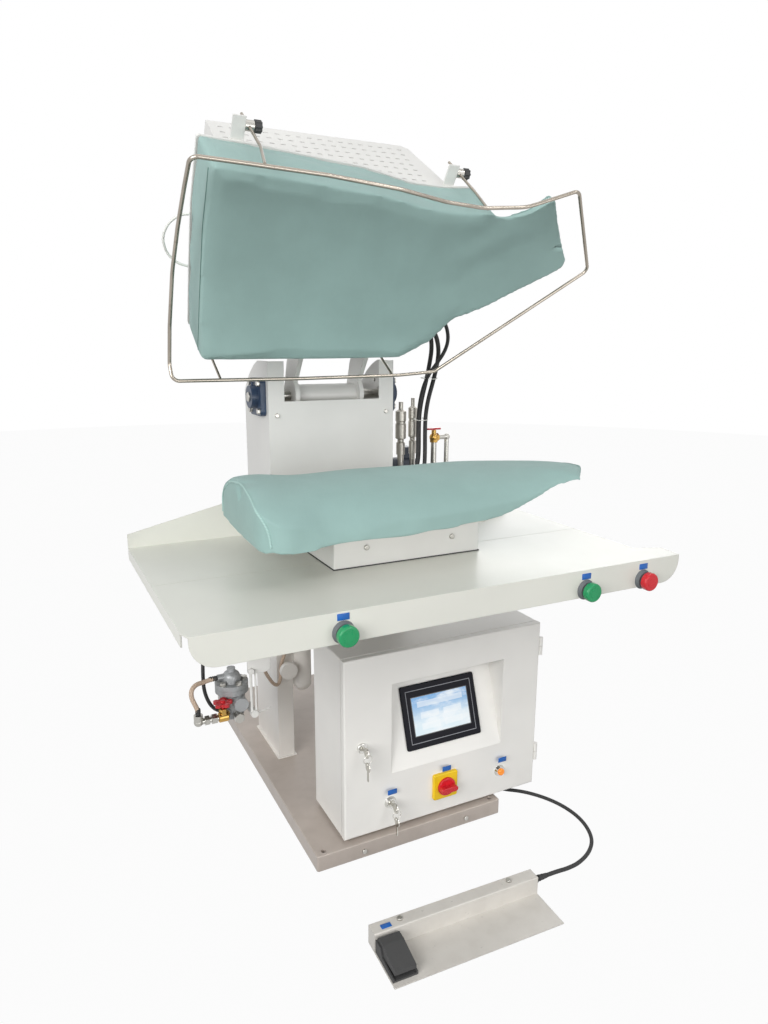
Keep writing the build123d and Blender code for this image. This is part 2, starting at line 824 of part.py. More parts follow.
def turning_key(x, z, seat, core):
    """A lock core that turns about Y, with the key in it and a second key hanging from its ring."""
    front_y = cabinet_front_y - seat
    with BuildPart() as turning:
        with Locations(facing(x, front_y, z, FRONT)):
            Cylinder(core / 2, seat + thin_sheet + 6, align=DOWN)
            Cylinder(core / 2 - 1, 1.5, align=UP)
        with BuildSketch(Plane.YZ.offset(x - key_thickness / 2)):
            with Locations((front_y - 7, z)):
                Rectangle(14, 7)
            with Locations((front_y - 20, z)):
                Circle(key_bow / 2)
            with Locations((front_y - 27, z)):
                Circle(key_hole, mode=Mode.SUBTRACT)
        extrude(amount=key_thickness)
    ring_z = z - key_hole - ring_radius + ring_wire
    hung_z = ring_z - ring_radius - key_hole + ring_wire
    with BuildPart() as hanging:
        with Locations(Plane(origin=(x, front_y - 27, ring_z), z_dir=(0, 1, 0))):
            Torus(ring_radius, ring_wire)
    with BuildPart() as hung_key:
        with BuildSketch(Plane.YZ.offset(x - key_thickness / 2)):
            with Locations((front_y - 27, hung_z - 7)):
                Circle(key_bow / 2 - 1)
            with Locations((front_y - 27, hung_z - 28)):
                Rectangle(6, 26)
            with Locations((front_y - 27, hung_z)):
                Circle(key_hole, mode=Mode.SUBTRACT)
        extrude(amount=key_thickness)
    with BuildPart() as both:
        add(turning.part)
        add(hanging.part)
        add(hung_key.part)
    return both


with BuildPart() as lock_body:
    with Locations(facing(lock_x, cabinet_front_y, lock_height, FRONT)):
        Cylinder(lock_rosette / 2, 5, align=UP)
        Cylinder(lock_barrel / 2, 24, align=DOWN)
    fillet(lock_body.faces().sort_by(Axis.Y)[0].edges(), 2)
    with Locations(facing(lock_x, cabinet_front_y - 5, lock_height, FRONT)):
        Hole(lock_core / 2 + running_fit, depth=18)
pieces["lock_body"] = lock_body
pieces["lock_key"] = turning_key(lock_x, lock_height, 5, lock_core)

with BuildPart() as bezel_rings:
    with Locations(*[facing(x, cabinet_front_y, z, FRONT) for x, z in ring_places]):
        Cone(ring_outer / 2, ring_outer / 2 - 3, ring_proud, align=UP)
        Cylinder(button_neck / 2, ring_body_depth, align=DOWN)
    with Locations(*[facing(x, cabinet_front_y - ring_proud, z, FRONT) for x, z in ring_places]):
        Hole(ring_core / 2 + running_fit, depth=ring_proud + 14)
pieces["bezel_rings"] = bezel_rings
pieces["switch_key"] = turning_key(key_switch_x, key_switch_height, ring_proud, ring_core)

with BuildPart() as pilot_lens:
    with Locations(facing(lamp_x, cabinet_front_y - ring_proud, lamp_height, FRONT)):
        Cylinder(ring_core / 2, 10, align=DOWN)
        Cylinder(ring_core / 2, 5, align=UP)
    fillet(pilot_lens.faces().sort_by(Axis.Y)[0].edges(), 4)
pieces["pilot_lens"] = pilot_lens

with BuildPart() as isolator_plate:
    with BuildSketch(facing(isolator_x, cabinet_front_y, isolator_height, FRONT)):
        RectangleRounded(isolator_plate_size, isolator_plate_size, 5)
    extrude(amount=isolator_plate_depth)
    chamfer(isolator_plate.faces().sort_by(Axis.Y)[0].edges(), 2)
    with Locations(facing(isolator_x, cabinet_front_y - isolator_plate_depth, isolator_height, FRONT)):
        Hole(isolator_spindle / 2 + running_fit)
pieces["isolator_plate"] = isolator_plate

knob_front_y = cabinet_front_y - isolator_plate_depth - air_gap
with BuildPart() as isolator_knob:
    with Locations(facing(isolator_x, knob_front_y, isolator_height, FRONT)):
        Cylinder(isolator_knob_diameter / 2, 6, align=UP)
        Cylinder(isolator_spindle / 2, isolator_plate_depth + 12, align=DOWN)
    fillet(isolator_knob.faces().sort_by(Axis.Y)[0].edges(), 2)
    with BuildSketch(facing(isolator_x, knob_front_y - 5, isolator_height, FRONT)):
        SlotOverall(isolator_knob_diameter - 2, isolator_grip, rotation=90)
    extrude(amount=isolator_knob_depth)
    fillet(isolator_knob.faces().sort_by(Axis.Y)[0].edges(), 1.5)
pieces["isolator_knob"] = isolator_knob

# Push-buttons

with BuildPart() as button_housings:
    with Locations(*[facing(x, table_front_y, z, FRONT) for x, z in button_places.values()]):
        Cone(button_collar / 2, button_collar / 2 - 4, button_collar_depth, align=UP)
        Cylinder(button_neck / 2, sheet + 1, align=DOWN)
    with Locations(*[(x, table_front_y + sheet, z) for x, z in button_places.values()]):
        Box(button_box, button_box_depth, button_box, align=(Align.CENTER, Align.MIN, Align.CENTER))
    with Locations(*[facing(x, table_front_y - button_collar_depth, z, FRONT)
                     for x, z in button_places.values()]):
        Hole(button_stem / 2 + running_fit, depth=button_collar_depth + sheet + 26)
pieces["button_housings"] = button_housings

for name, (x, z) in button_places.items():
    cap_back_y = table_front_y - button_collar_depth - button_travel - 1
    with BuildPart() as button:
        with Locations(facing(x, cap_back_y, z, FRONT)):
            Cylinder(button_cap / 2, button_cap_depth, align=UP)
            Cylinder(button_stem / 2, button_travel + button_collar_depth + 20, align=DOWN)
        fillet(button.faces().sort_by(Axis.Y)[0].edges(), 4)
        with Locations(facing(x, cap_back_y - button_cap_depth, z, FRONT)):
            Cylinder(button_cap / 2 - 9, 1.2, align=(Align.CENTER, Align.CENTER, Align.CENTER))
    pieces[name] = button

# Head

face_crown = buck_crown + head_gap
face_sections = (
    (-440, buck_centre_y, face_half_depth, face_base, face_crown),
    (-320, buck_centre_y, face_half_depth, face_base, face_crown),
    (-200, buck_centre_y, face_half_depth, face_base, face_crown),
    (-80, buck_centre_y, face_half_depth, face_base, face_crown),
    (30, buck_centre_y, face_half_depth, face_base, face_crown),
    (130, buck_centre_y, face_half_depth, face_base, face_crown),
    (220, buck_centre_y - 20, face_half_depth - 16, face_base, face_crown),
    (300, buck_centre_y - 46, face_half_depth - 36, face_base, face_crown - 1),
    (380, buck_centre_y - 80, face_half_depth - 46, face_base, face_crown - 1),
    (480, buck_centre_y - 120, face_half_depth - 48, face_base, face_crown - 1),
)

pad_body_outline = (
    (-411, -562), (-284, -556), (-53, -538), (60, -517), (145, -515), (222, -520),
    (215, -232), (170, -178), (98, -137), (-392, -132), (-403, -290), (-411, -425),
)
pad_body_radii = [12, 300, 400, 200, 200, 6, 20, 50, 60, 16, 300, 300]
pad_nose_outline = (
    (150, -516), (258, -512), (302, -526), (345, -566), (464, -414), (442, -390), (316, -304), (150, -190),
)
pad_nose_radii = [4, 60, 60, 8, 14, 14, 200, 4]


def outline(points, radii, height, inset=0.0):
    """A rounded plan outline at a height, drawn in by an inset."""
    with BuildSketch(Plane.XY.offset(height)) as plan:
        with BuildLine():
            FilletPolyline(*points, radius=radii, close=True)
        make_face()
        if inset:
            offset(amount=-inset, kind=Kind.INTERSECTION)
    return plan.sketch


with BuildPart() as face_cutter:
    loft([half_ellipse(*row) for row in face_sections])

with BuildPart() as head_pad:
    extrude(outline(pad_body_outline, pad_body_radii, head_rim), amount=head_back - head_rim)
    extrude(outline(pad_nose_outline, pad_nose_radii, head_rim), amount=nose_thickness)
    add(face_cutter.part, mode=Mode.SUBTRACT)

head_top = head_back + head_plate_thickness
clamp_axis_z = head_top + clamp_rise
# Clamped struts at the front: the bracket's right edge along X and the pad's front edge there
front_strut_places = ((-314, -558), (171, -516))
rear_strut_places = ((-343, -130), (76, -136))

with BuildPart() as head_plate:
    plate_plan = outline(pad_body_outline, pad_body_radii, head_back, head_plate_margin)
    extrude(plate_plan, amount=head_plate_thickness)
    for x, edge_y in front_strut_places:
        with Locations((x, edge_y + bracket_overlap, head_top)):
            Box(bracket_width, bracket_overlap + bracket_reach, bracket_sheet,
                align=(Align.MAX, Align.MAX, Align.MIN))
    for x, edge_y in rear_strut_places:
        with Locations((x, edge_y + strut_offset + 14, head_back)):
            Box(rear_tab_width, rear_tab_length, bracket_sheet, align=(Align.CENTER, Align.MAX, Align.MIN))

with BuildPart() as head_hood:
    with BuildSketch(Plane.XZ.offset(-hood_front_y)):
        with BuildLine():
            Polyline(
                (hood_left_x, head_top),
                (hood_left_x, head_top + hood_height),
                (hood_top_right_x - hood_chamfer, head_top + hood_height),
                (hood_top_right_x, head_top + hood_height - hood_chamfer * 0.7),
                (hood_right_x, head_top),
                close=True,
            )
        make_face()
    extrude(amount=-(hood_back_y - hood_front_y))
    bottom_and_back = head_hood.faces().sort_by(Axis.Z)[:1] + head_hood.faces().sort_by(Axis.Y)[-1:]
    offset(amount=-thin_sheet, openings=bottom_and_back)
    slots_centre_x = hood_left_x + (slot_columns + 1) * slot_pitch / 2
    slots_centre_z = head_top + hood_height - (slot_rows + 1) * slot_pitch / 2
    with BuildSketch(Plane.XZ.offset(-hood_front_y)):
        with Locations((slots_centre_x, slots_centre_z)):
            with GridLocations(slot_pitch, slot_pitch, slot_columns, slot_rows):
                Rectangle(slot_length, slot_width)
    extrude(amount=-thin_sheet, mode=Mode.SUBTRACT)

cheek_offset = cheek_gap / 2
lever_bottom = head_top
with BuildPart() as lever_cheek:
    with BuildSketch(Plane.YZ.offset(cheek_offset)):
        with BuildLine():
            Polyline(
                (lever_toe_y, lever_bottom),
                (hood_back_y, lever_bottom),
                (hood_back_y + 40, lever_bottom + lever_lift),
                (hinge_y - hub_radius, lever_bottom + lever_lift),
                (hinge_y, hinge_z),
                (hinge_y, hinge_z + hub_radius),
                (hinge_y - 60, hinge_z + hub_radius + 18),
                (hood_back_y - 120, lever_bottom + lever_back),
                (lever_toe_y, lever_bottom + lever_back / 2),
                close=True,
            )
        make_face()
        with Locations((hinge_y, hinge_z)):
            Circle(hub_radius)
        with BuildLine():
            Polyline(
                (hinge_y, hinge_z + hub_radius),
                (hinge_y + tail_length, hinge_z + tail_radius),
                (hinge_y + tail_length, hinge_z - tail_radius),
                (hinge_y, hinge_z - hub_radius),
                close=True,
            )
        make_face()
        with Locations((hinge_y + tail_length, hinge_z)):
            Circle(tail_radius)
            Circle(tail_pin / 2, mode=Mode.SUBTRACT)
    extrude(amount=cheek_thickness)

with BuildPart() as lever_arms:
    add(lever_cheek.part)
    mirror(about=Plane.YZ)
    with Locations(facing(-cheek_offset, hinge_y, hinge_z, RIGHT)):
        Cylinder(hub_tube / 2, cheek_gap, align=UP)
    with Locations(facing(cheek_offset + cheek_thickness, hinge_y, hinge_z, RIGHT)):
        Hole(shaft_diameter / 2)

with BuildPart() as head_shaft:
    with Locations(facing(0, hinge_y, hinge_z, RIGHT)):
        Cylinder(shaft_diameter / 2, shaft_length)
    chamfer(head_shaft.faces().filter_by(Axis.X).edges(), 1.5)

# The guard is one bent rod round the head, a little below its face
guard_left = (-450, -265, 909)
guard_right = (442, -507, 850)
guard_front_route = [
    guard_left, (-450, -325, 916), (-450, -425, 901), (-450, -520, 875), (-452, -584, 846),
    (-355, -583, 842), (-205, -578, 842), (-50, -566, 842), (60, -550, 842), (150, -545, 842),
    (255, -555, 843), (374, -600, 848), guard_right,
]
guard_rear_route = [
    guard_right, (510, -414, 852), (192, -116, 852), (96, -107, 852), (-160, -104, 850),
    (-447, -104, 850), (-450, -128, 877), (-450, -205, 902), guard_left,
]


def bent_rod(points, radii, diameter):
    """A rod along straight runs joined by bends of given radii."""
    with BuildPart() as rod:
        with BuildLine() as line:
            FilletPolyline(*points, radius=radii)
        with BuildSketch(Plane(origin=line.line @ 0, z_dir=line.line % 0)):
            Circle(diameter / 2)
        sweep()
    return rod.part


guard_front_radii = [120, 120, 60, 16, 120, 200, 200, 200, 200, 150, 16]
guard_rods = [
    bent_rod(guard_front_route, guard_front_radii, guard_diameter),
    bent_rod(guard_rear_route, [16, 24, 200, 200, 16, 20, 60], guard_diameter),
]
strut_top = clamp_axis_z + strut_proud
strut_foot = 842
strut_reach = clamp_length / 2 - 1
for x, edge_y in front_strut_places:
    strut_x = x + strut_reach
    strut_y = edge_y - strut_offset
    strut_route = [
        (strut_x - 18, strut_y - 8, strut_foot),
        (strut_x, strut_y, strut_foot + 90),
        (strut_x, strut_y, strut_top),
    ]
    guard_rods.append(bent_rod(strut_route, 40, strut_diameter))
for x, edge_y in rear_strut_places:
    strut_y = edge_y + strut_offset
    strut_route = [
        (x, strut_y + 6, strut_foot + 9),
        (x - 2, strut_y + 8, head_back - 60),
        (x - 2, strut_y + 8, head_back),
    ]
    guard_rods.append(bent_rod(strut_route, 30, strut_diameter))

with BuildPart() as guard_bar:
    add(guard_rods)

with BuildPart() as guard_clamps:
    for x, edge_y in front_strut_places:
        strut_y = edge_y - strut_offset
        with Locations(facing(x, strut_y, clamp_axis_z, RIGHT)):
            Cylinder(clamp_diameter / 2, clamp_length, align=UP)
        with Locations((x + strut_reach, strut_y, clamp_axis_z)):
            Cylinder(strut_diameter / 2 + hole_clearance, 2 * clamp_diameter, mode=Mode.SUBTRACT)
        with Locations(facing(x + clamp_length, strut_y, clamp_axis_z, RIGHT)):
            Hole(knob_spindle / 2 + running_fit, depth=knob_seat)
    chamfer(guard_clamps.faces().group_by(Axis.X)[-1].edges().filter_by(GeomType.CIRCLE), 0.8)


def clamp_knob(x, edge_y):
    """A fluted hand knob with its spindle in the clamp."""
    knob_x = x + clamp_length + 1
    with BuildPart() as knob:
        with Locations(facing(knob_x, edge_y - strut_offset, clamp_axis_z, RIGHT)):
            Cylinder(knob_diameter / 2, knob_length, align=UP)
            Cylinder(knob_spindle / 2, knob_seat, align=DOWN)
            with PolarLocations(knob_diameter / 2 + 2, 8):
                Cylinder(4, knob_length, align=UP, mode=Mode.SUBTRACT)
        chamfer(knob.faces().sort_by(Axis.X)[-1].edges(), 1)
    return knob


# The thin tube that loops out of the head's left side and back in
side_tube_route = [
    (-411.8, -415, 975), (-430, -411, 977), (-450, -390, 981), (-459, -357, 984), (-449, -325, 983),
    (-427, -305, 980), (-404.6, -300, 978),
]
side_tube, side_tube_radii = cord(side_tube_route, side_tube_diameter)
with BuildPart() as head_side_tube:
    add(side_tube)

head_pieces = {
    "head_pad": head_pad,
    "head_plate": head_plate,
    "head_hood": head_hood,
    "lever_arms": lever_arms,
    "head_shaft": head_shaft,
    "guard_bar": guard_bar,
    "guard_clamps": guard_clamps,
    "knob_left": clamp_knob(*front_strut_places[0]),
    "knob_right": clamp_knob(*front_strut_places[1]),
    "head_side_tube": head_side_tube,
}
hinge_line = Axis((0, hinge_y, hinge_z), (1, 0, 0))
for name, piece in head_pieces.items():
    piece.part = piece.part.rotate(hinge_line, -open_angle)
    pieces[name] = piece

# Steam trap and its fittings

lower_flange_z = trap_flange_z - trap_joint_gap / 2 - trap_flange_thickness
upper_flange_z = trap_flange_z + trap_joint_gap / 2

rod_x = -311.0
rod_bottom = 286.0
hanger_foot = 12.0
foot_x = rod_x - 1
valve_way = (valve_x - trap_x, valve_y - trap_y, 0)
valve_reach = sqrt(valve_way[0] ** 2 + valve_way[1] ** 2)
valve_neck = valve_body / 2 + 6
plug_offset = 3.0
plug_z = 281.0
plug_reach = 32.0

# Black drain hose from under the table down into the trap's left side
drain_end = (-366, -118, 270)
drain_route = [
    (-398, -104, table_height - sheet), (-398, -104, 660), (-399, -106, 590), (-401, -108, 510),
    (-403, -110, 440), (-406, -111, 390), (-407, -112, 360), (-406, -112, 333), (-400, -112, 308),
    (-391, -113, 288), (-379, -115, 275), drain_end,
]
drain_way = tuple(b - a for a, b in zip(drain_route[-2], drain_route[-1]))

with BuildPart() as trap_body:
    with BuildSketch(Plane(origin=(trap_x, trap_y, 0), x_dir=(1, 0, 0), z_dir=(0, -1, 0))):
        with BuildLine():
            Polyline((0, 262), (16, 262), (26, 268))
            Spline((26, 268), (30, 290), (31, 315), (31, lower_flange_z))
            Polyline((31, lower_flange_z), (trap_flange_radius, lower_flange_z),
                     (trap_flange_radius, lower_flange_z + trap_flange_thickness),
                     (0, lower_flange_z + trap_flange_thickness), (0, 262))
        make_face()
    revolve(axis=Axis((trap_x, trap_y, 0), (0, 0, 1)))
    with Locations(facing(trap_x + 8, trap_y, 316, FRONT)):
        Cylinder(17, 56, align=UP)
    with Locations(facing(trap_x, trap_y, valve_z, valve_way)):
        Cylinder(10, valve_reach - valve_neck, align=UP)
    with Locations(facing(trap_x + plug_offset, trap_y, plug_z, FRONT)):
        Cylinder(12, plug_reach, align=UP)
    with Locations(facing(trap_x, trap_y, rod_bottom, RIGHT)):
        Cylinder(hanger_foot / 2 - 1, foot_x - trap_x, align=UP)
    with Locations(facing(*drain_end, drain_way)):
        Cylinder(drain_hose_diameter / 2 + 1.5, 20, align=UP)
    with Locations((trap_x, trap_y, lower_flange_z + trap_flange_thickness)):
        with PolarLocations(trap_bolt_circle, trap_bolts):
            Hole(bolt_shank / 2 + hole_clearance, depth=trap_flange_thickness + 6)
pieces["trap_body"] = trap_body

with BuildPart() as trap_cover:
    with BuildSketch(Plane(origin=(trap_x, trap_y, 0), x_dir=(1, 0, 0), z_dir=(0, -1, 0))):
        with BuildLine():
            Polyline((0, upper_flange_z), (trap_flange_radius, upper_flange_z),
                     (trap_flange_radius, upper_flange_z + trap_flange_thickness),
                     (23, upper_flange_z + trap_flange_thickness), (21, 372))
            ThreePointArc((21, 372), (16, 380), (10, 383))
            Polyline((10, 383), (10, 392), (0, 392), (0, upper_flange_z))
        make_face()
    revolve(axis=Axis((trap_x, trap_y, 0), (0, 0, 1)))
    with Locations(facing(trap_x, trap_y, 371, LEFT)):
        Cylinder(8, 34, align=UP)
    with Locations((trap_x, trap_y, upper_flange_z + trap_flange_thickness)):
        with PolarLocations(trap_bolt_circle, trap_bolts):
            Hole(bolt_shank / 2 + hole_clearance, depth=trap_flange_thickness + 2)
pieces["trap_cover"] = trap_cover

trap_bolt_places = PolarLocations(trap_bolt_circle, trap_bolts)
trap_bolt_planes = [
    facing(trap_x + place.position.X, trap_y + place.position.Y,
           upper_flange_z + trap_flange_thickness, (0, 0, 1))
    for place in trap_bolt_places
]

hanger_left_x = -318.0
hanger_right_x = -262.0
hanger_bottom = 387.0
arm_side_x = -leg_x - leg_width / 2
hanger_rod_gap = 11.0

with BuildPart() as trap_hanger:
    with BuildSketch(Plane.XZ.offset(-hanger_y)):
        with BuildLine():
            FilletPolyline(
                (hanger_left_x, hanger_bottom),
                (hanger_right_x, hanger_bottom),
                (hanger_right_x, leg_top - 60),
                (arm_side_x, leg_top - 24),
                (arm_side_x, arm_top - 4),
                (hanger_left_x, arm_top - 4),
                radius=[8, 14, 20, 4, 4, 4],
                close=True,
            )
        make_face()
    extrude(amount=hanger_sheet)
    rod_y = hanger_y - hanger_sheet
    with Locations((rod_x, rod_y, rod_bottom)):
        Cylinder(hanger_rod / 2, hanger_bottom + 10 - rod_bottom, align=UP)
    with Locations((rod_x + hanger_rod_gap, rod_y, rod_bottom)):
        Cylinder(hanger_rod / 2 - 1, hanger_bottom + 10 - rod_bottom, align=UP)
    with Locations(facing(rod_x + 5, hanger_y, rod_bottom, FRONT)):
        Cylinder(9, 12, align=UP)
    with Locations((foot_x, hanger_y - hanger_foot, rod_bottom)):
        Box(hanger_foot, trap_y + hanger_foot - hanger_y, hanger_foot,
            align=(Align.MIN, Align.MIN, Align.CENTER))
    with Locations(facing(rod_x + 5, hanger_y - 6, rod_bottom, (0.97, 0.25, 0))):
        Cylinder(2.5, 44, align=UP)
    with Locations(facing(rod_x, hanger_y, 389 + 8, FRONT)):
        Cylinder(7, 12, align=UP)
pieces["trap_hanger"] = trap_hanger

# Fittings of bright steel: the plug, the union nuts, the nipples and the elbow
with BuildPart() as trap_fittings:
    with Locations(facing(trap_x + plug_offset, trap_y - plug_reach, plug_z, FRONT)):
        Cylinder(11, 14, align=UP)
    with BuildSketch(facing(trap_x + plug_offset, trap_y - plug_reach - 12, plug_z, FRONT)):
        RegularPolygon(11, 6, major_radius=False)
    extrude(amount=10)
    nipple_start = valve_x - valve_body / 2
    with Locations(facing(nipple_start, valve_y, valve_z, LEFT)):
        Cylinder(7.5, nipple_start - elbow_x, align=UP)
    with BuildSketch(facing(nipple_start - 4, valve_y, valve_z, LEFT)):
        RegularPolygon(11, 6, major_radius=False)
    extrude(amount=12)
    with BuildSketch(facing(nipple_start - 22, valve_y, valve_z, LEFT)):
        RegularPolygon(10.5, 6, major_radius=False)
    extrude(amount=10)
    with Locations((elbow_x, valve_y, valve_z)):
        Sphere(11)
        Cylinder(10.5, 18, align=UP)
pieces["trap_fittings"] = trap_fittings

with BuildPart() as trap_valve:
    with Locations(facing(valve_x + valve_body / 2, valve_y, valve_z, LEFT)):
        Cylinder(valve_body / 2, valve_body, align=UP)
    chamfer(trap_valve.faces().filter_by(Axis.X).edges(), 2)
    with BuildSketch(Plane.XY.offset(valve_z)):
        with Locations((valve_x, valve_y)):
            RegularPolygon(9, 6, major_radius=False)
    extrude(amount=22)
    with Locations(facing(valve_x, valve_y, valve_z, (-valve_way[0], -valve_way[1], 0))):
        Cylinder(9, valve_neck, align=UP)
    with Locations((valve_x, valve_y, valve_z + 22)):
        Hole(wheel_spindle / 2 + running_fit, depth=16)
pieces["trap_valve"] = trap_valve

with BuildPart() as trap_handwheel:
    with BuildSketch(Plane.XY.offset(wheel_height - 3)):
        with Locations((valve_x, valve_y)):
            Circle(wheel_diameter / 2 - 7)
            with PolarLocations(wheel_diameter / 2 - 7, wheel_lobes):
                Circle(7.5)
            with PolarLocations(wheel_diameter / 2 - 11, wheel_lobes, start_angle=180 / wheel_lobes):
                Circle(3, mode=Mode.SUBTRACT)
    extrude(amount=7)
    with Locations((valve_x, valve_y, wheel_height + 4)):
        Cylinder(6, 4, align=UP)
    with Locations((valve_x, valve_y, wheel_height)):
        Cylinder(wheel_spindle / 2, wheel_height - valve_z - 8, align=DOWN)
pieces["trap_handwheel"] = trap_handwheel

# Beige hose from the elbow up and round to the cover
cover_port_x = trap_x - 34
cover_port_z = 371.0
trap_hose_route = [
    (elbow_x, valve_y, valve_z + 18),
    (elbow_x, valve_y, valve_z + 30),
    (elbow_x - 6, valve_y + 2, valve_z + 46),
    (elbow_x - 12, valve_y + 6, valve_z + 62),
    (elbow_x - 10, valve_y + 14, valve_z + 77),
    (elbow_x + 4, valve_y + 25, valve_z + 84),
    (elbow_x + 24, valve_y + 36, cover_port_z - 1),
    (elbow_x + 44, trap_y, cover_port_z),
    (cover_port_x, trap_y, cover_port_z),
]
trap_hose_part, trap_hose_radii = cord(trap_hose_route, trap_hose_diameter)
drain_hose_part, drain_hose_radii = cord(drain_route, drain_hose_diameter)
print("drain hose radii", [round(r, 1) for r in drain_hose_radii])
with BuildPart() as trap_hose:
    add(trap_hose_part)
    add(drain_hose_part)
pieces["trap_hose"] = trap_hose

# Beige hose that hangs in a bow from the round cap to the underside of the arm
v_hose_route = [
    (-281, -44, table_height - sheet), (-280, -45, 645), (-276, -46, 590), (-273, -48, 535),
    (-270, -48, 478), (-262, -48, 420), (-249, -47, 366), (-232, -45, 318), (-215, -42, 285),
    (-203, -39, 270), (-192, -35, 268), (-185, -32, 282), (-184, -28, 306), (-177, -27, 333),
    (-164, -27, 360), (-157, -28, 402), (-155, -29, 450), (-157, -30, 502), (-159, -30, 556),
    (-158, -28, 612), (-158, -28, leg_top),
]
v_hose_part, v_hose_radii = cord(v_hose_route, v_hose_diameter)
with BuildPart() as v_hose:
    add(v_hose_part)
pieces["v_hose"] = v_hose

# Services behind the column


def piston_valve(x, base, top, radius):
    """A valve with a stacked actuator on it, turned about a vertical line."""
    span = top - base
    profile = (
        (0, 0), (0.62, 0), (0.62, 0.10), (0.82, 0.10), (0.82, 0.30), (0.60, 0.32), (0.60, 0.36),
        (1.0, 0.38), (1.0, 0.62), (0.88, 0.64), (0.88, 0.66), (1.0, 0.68), (1.0, 0.84), (0.42, 0.87),
        (0.42, 1.0), (0, 1.0),
    )
    with BuildPart() as valve:
        with BuildSketch(Plane(origin=(x, header_y, base), x_dir=(1, 0, 0), z_dir=(0, -1, 0))):
            with BuildLine():
                Polyline(*[(radius * across, span * up) for across, up in profile], close=True)
            make_face()
        revolve(axis=Axis((x, header_y, 0), (0, 0, 1)))
    return valve.part


valve_seat_z = 824.0
with BuildPart() as piston_valves:
    add(piston_valve(short_valve_x, valve_seat_z, 992, 15.5))
    add(piston_valve(tall_valve_x, valve_seat_z, 1002, 13))
pieces["piston_valves"] = piston_valves

with BuildPart() as service_pipes:
    with Locations(facing(column_width / 2, header_y, header_z, RIGHT)):
        Cylinder(24, 8, align=UP)
        Cylinder(header_diameter / 2, header_end_x - column_width / 2, align=UP)
    with Locations(*[(x, header_y, header_z) for x in (short_valve_x, tall_valve_x)]):
        Cylinder(pipe_diameter / 2, valve_seat_z - header_z, align=UP)
    with Locations((ball_valve_x, header_y, header_z)):
        Cylinder(pipe_diameter / 2, ball_valve_z - 14 - header_z, align=UP)
    with Locations((outlet_x, header_y, header_z)):
        Cylinder(pipe_diameter / 2 - 1.5, ball_valve_z - header_z, align=UP)
    with Locations(facing(outlet_x, header_y, ball_valve_z, LEFT)):
        Cylinder(pipe_diameter / 2 - 1.5, outlet_x - ball_valve_x - 14, align=UP)
    with Locations((outlet_x, header_y, ball_valve_z)):
        Sphere(pipe_diameter / 2 + 1.5)
pieces["service_pipes"] = service_pipes

with BuildPart() as ball_valve:
    with Locations((ball_valve_x, header_y, ball_valve_z)):
        Sphere(13)
        Cylinder(7, 22, align=UP)
    with BuildSketch(Plane.XY.offset(ball_valve_z - 14)):
        with Locations((ball_valve_x, header_y)):
            RegularPolygon(11, 6, major_radius=False)
    extrude(amount=8)
    with BuildSketch(facing(ball_valve_x + 4, header_y, ball_valve_z, RIGHT)):
        RegularPolygon(10.5, 6, major_radius=False)
    extrude(amount=10)
    with Locations((ball_valve_x, header_y, ball_valve_z + 22)):
        Hole(wheel_spindle / 2 + running_fit, depth=14)
pieces["ball_valve"] = ball_valve

with BuildPart() as ball_valve_handle:
    with BuildSketch(Plane.XY.offset(ball_valve_z + 23)):
        with Locations((ball_valve_x, header_y)):
            SlotOverall(46, 11)
    extrude(amount=5)
    with Locations((ball_valve_x, header_y, ball_valve_z + 24)):
        Cylinder(wheel_spindle / 2, 14, align=DOWN)
pieces["ball_valve_handle"] = ball_valve_handle

with BuildPart() as vacuum_motor:
    with Locations(facing(column_width / 2, motor_y, motor_z, RIGHT)):
        Cylinder(motor_diameter / 2, 10, align=UP)
        Cylinder(motor_diameter / 2 - 5, motor_end_x - column_width / 2 - 12, align=UP)
    with Locations(facing(motor_end_x - 24, motor_y, motor_z, RIGHT)):
        Cylinder(motor_diameter / 2 - 2, 24, align=UP)
    fillet(vacuum_motor.faces().sort_by(Axis.X)[-1].edges(), 8)
    with Locations((300, motor_y, motor_z + motor_diameter / 2 - 8)):
        Box(26, 36, 34, align=UP)
pieces["vacuum_motor"] = vacuum_motor

# Three black hoses from the back of the head down to the column's side: diameter and route of each
head_hose_routes = (
    (head_hose_diameter, [
        (176, -66, 1247), (188, -66, 1246), (208, -64, 1238), (230, -61, 1218), (262, -56, 1176),
        (292, -20, 1140), (306, 10, 1100), (306, 32, 1050), (300, 48, 1000), (298, 58, 950),
        (299, 60, 900), (300, 60, 850), (298, 58, 806), (284, 56, 772), (252, 55, 752),
        (218, 55, 744), (177, 55, 744),
    ]),
    (head_hose_diameter, [
        (174, -53, 1260), (186, -53, 1259), (206, -54, 1250), (226, -54, 1222), (250, -47, 1180),
        (276, -10, 1142), (288, 22, 1100), (290, 44, 1050), (286, 60, 1000), (285, 71, 950),
        (286, 73, 900), (287, 73, 850), (283, 72, 812), (268, 70, 784), (240, 69, 772),
        (210, 68, 768), (177, 68, 768),
    ]),
    (third_hose_diameter, [
        (177, -81, 1267), (190, -81, 1266), (220, -79, 1258), (252, -73, 1240), (280, -64, 1214),
        (298, -54, 1188), (306, -44, 1160), (302, -32, 1132), (291, -17, 1106), (280, 1, 1080),
        (273, 20, 1052), (271, 40, 1008), (272, 54, 955), (274, 58, 900),
        (275, 58, 850), (271, 56, 806), (257, 50, 776), (232, 44, 761), (204, 42, 757), (177, 42, 757),
    ]),
)
with BuildPart() as head_hoses:
    for diameter, route in head_hose_routes:
        hose, hose_radii = cord(route, diameter)
        print("head hose radii", [round(r, 1) for r in hose_radii])
        add(hose)
pieces["head_hoses"] = head_hoses

# Foot pedal

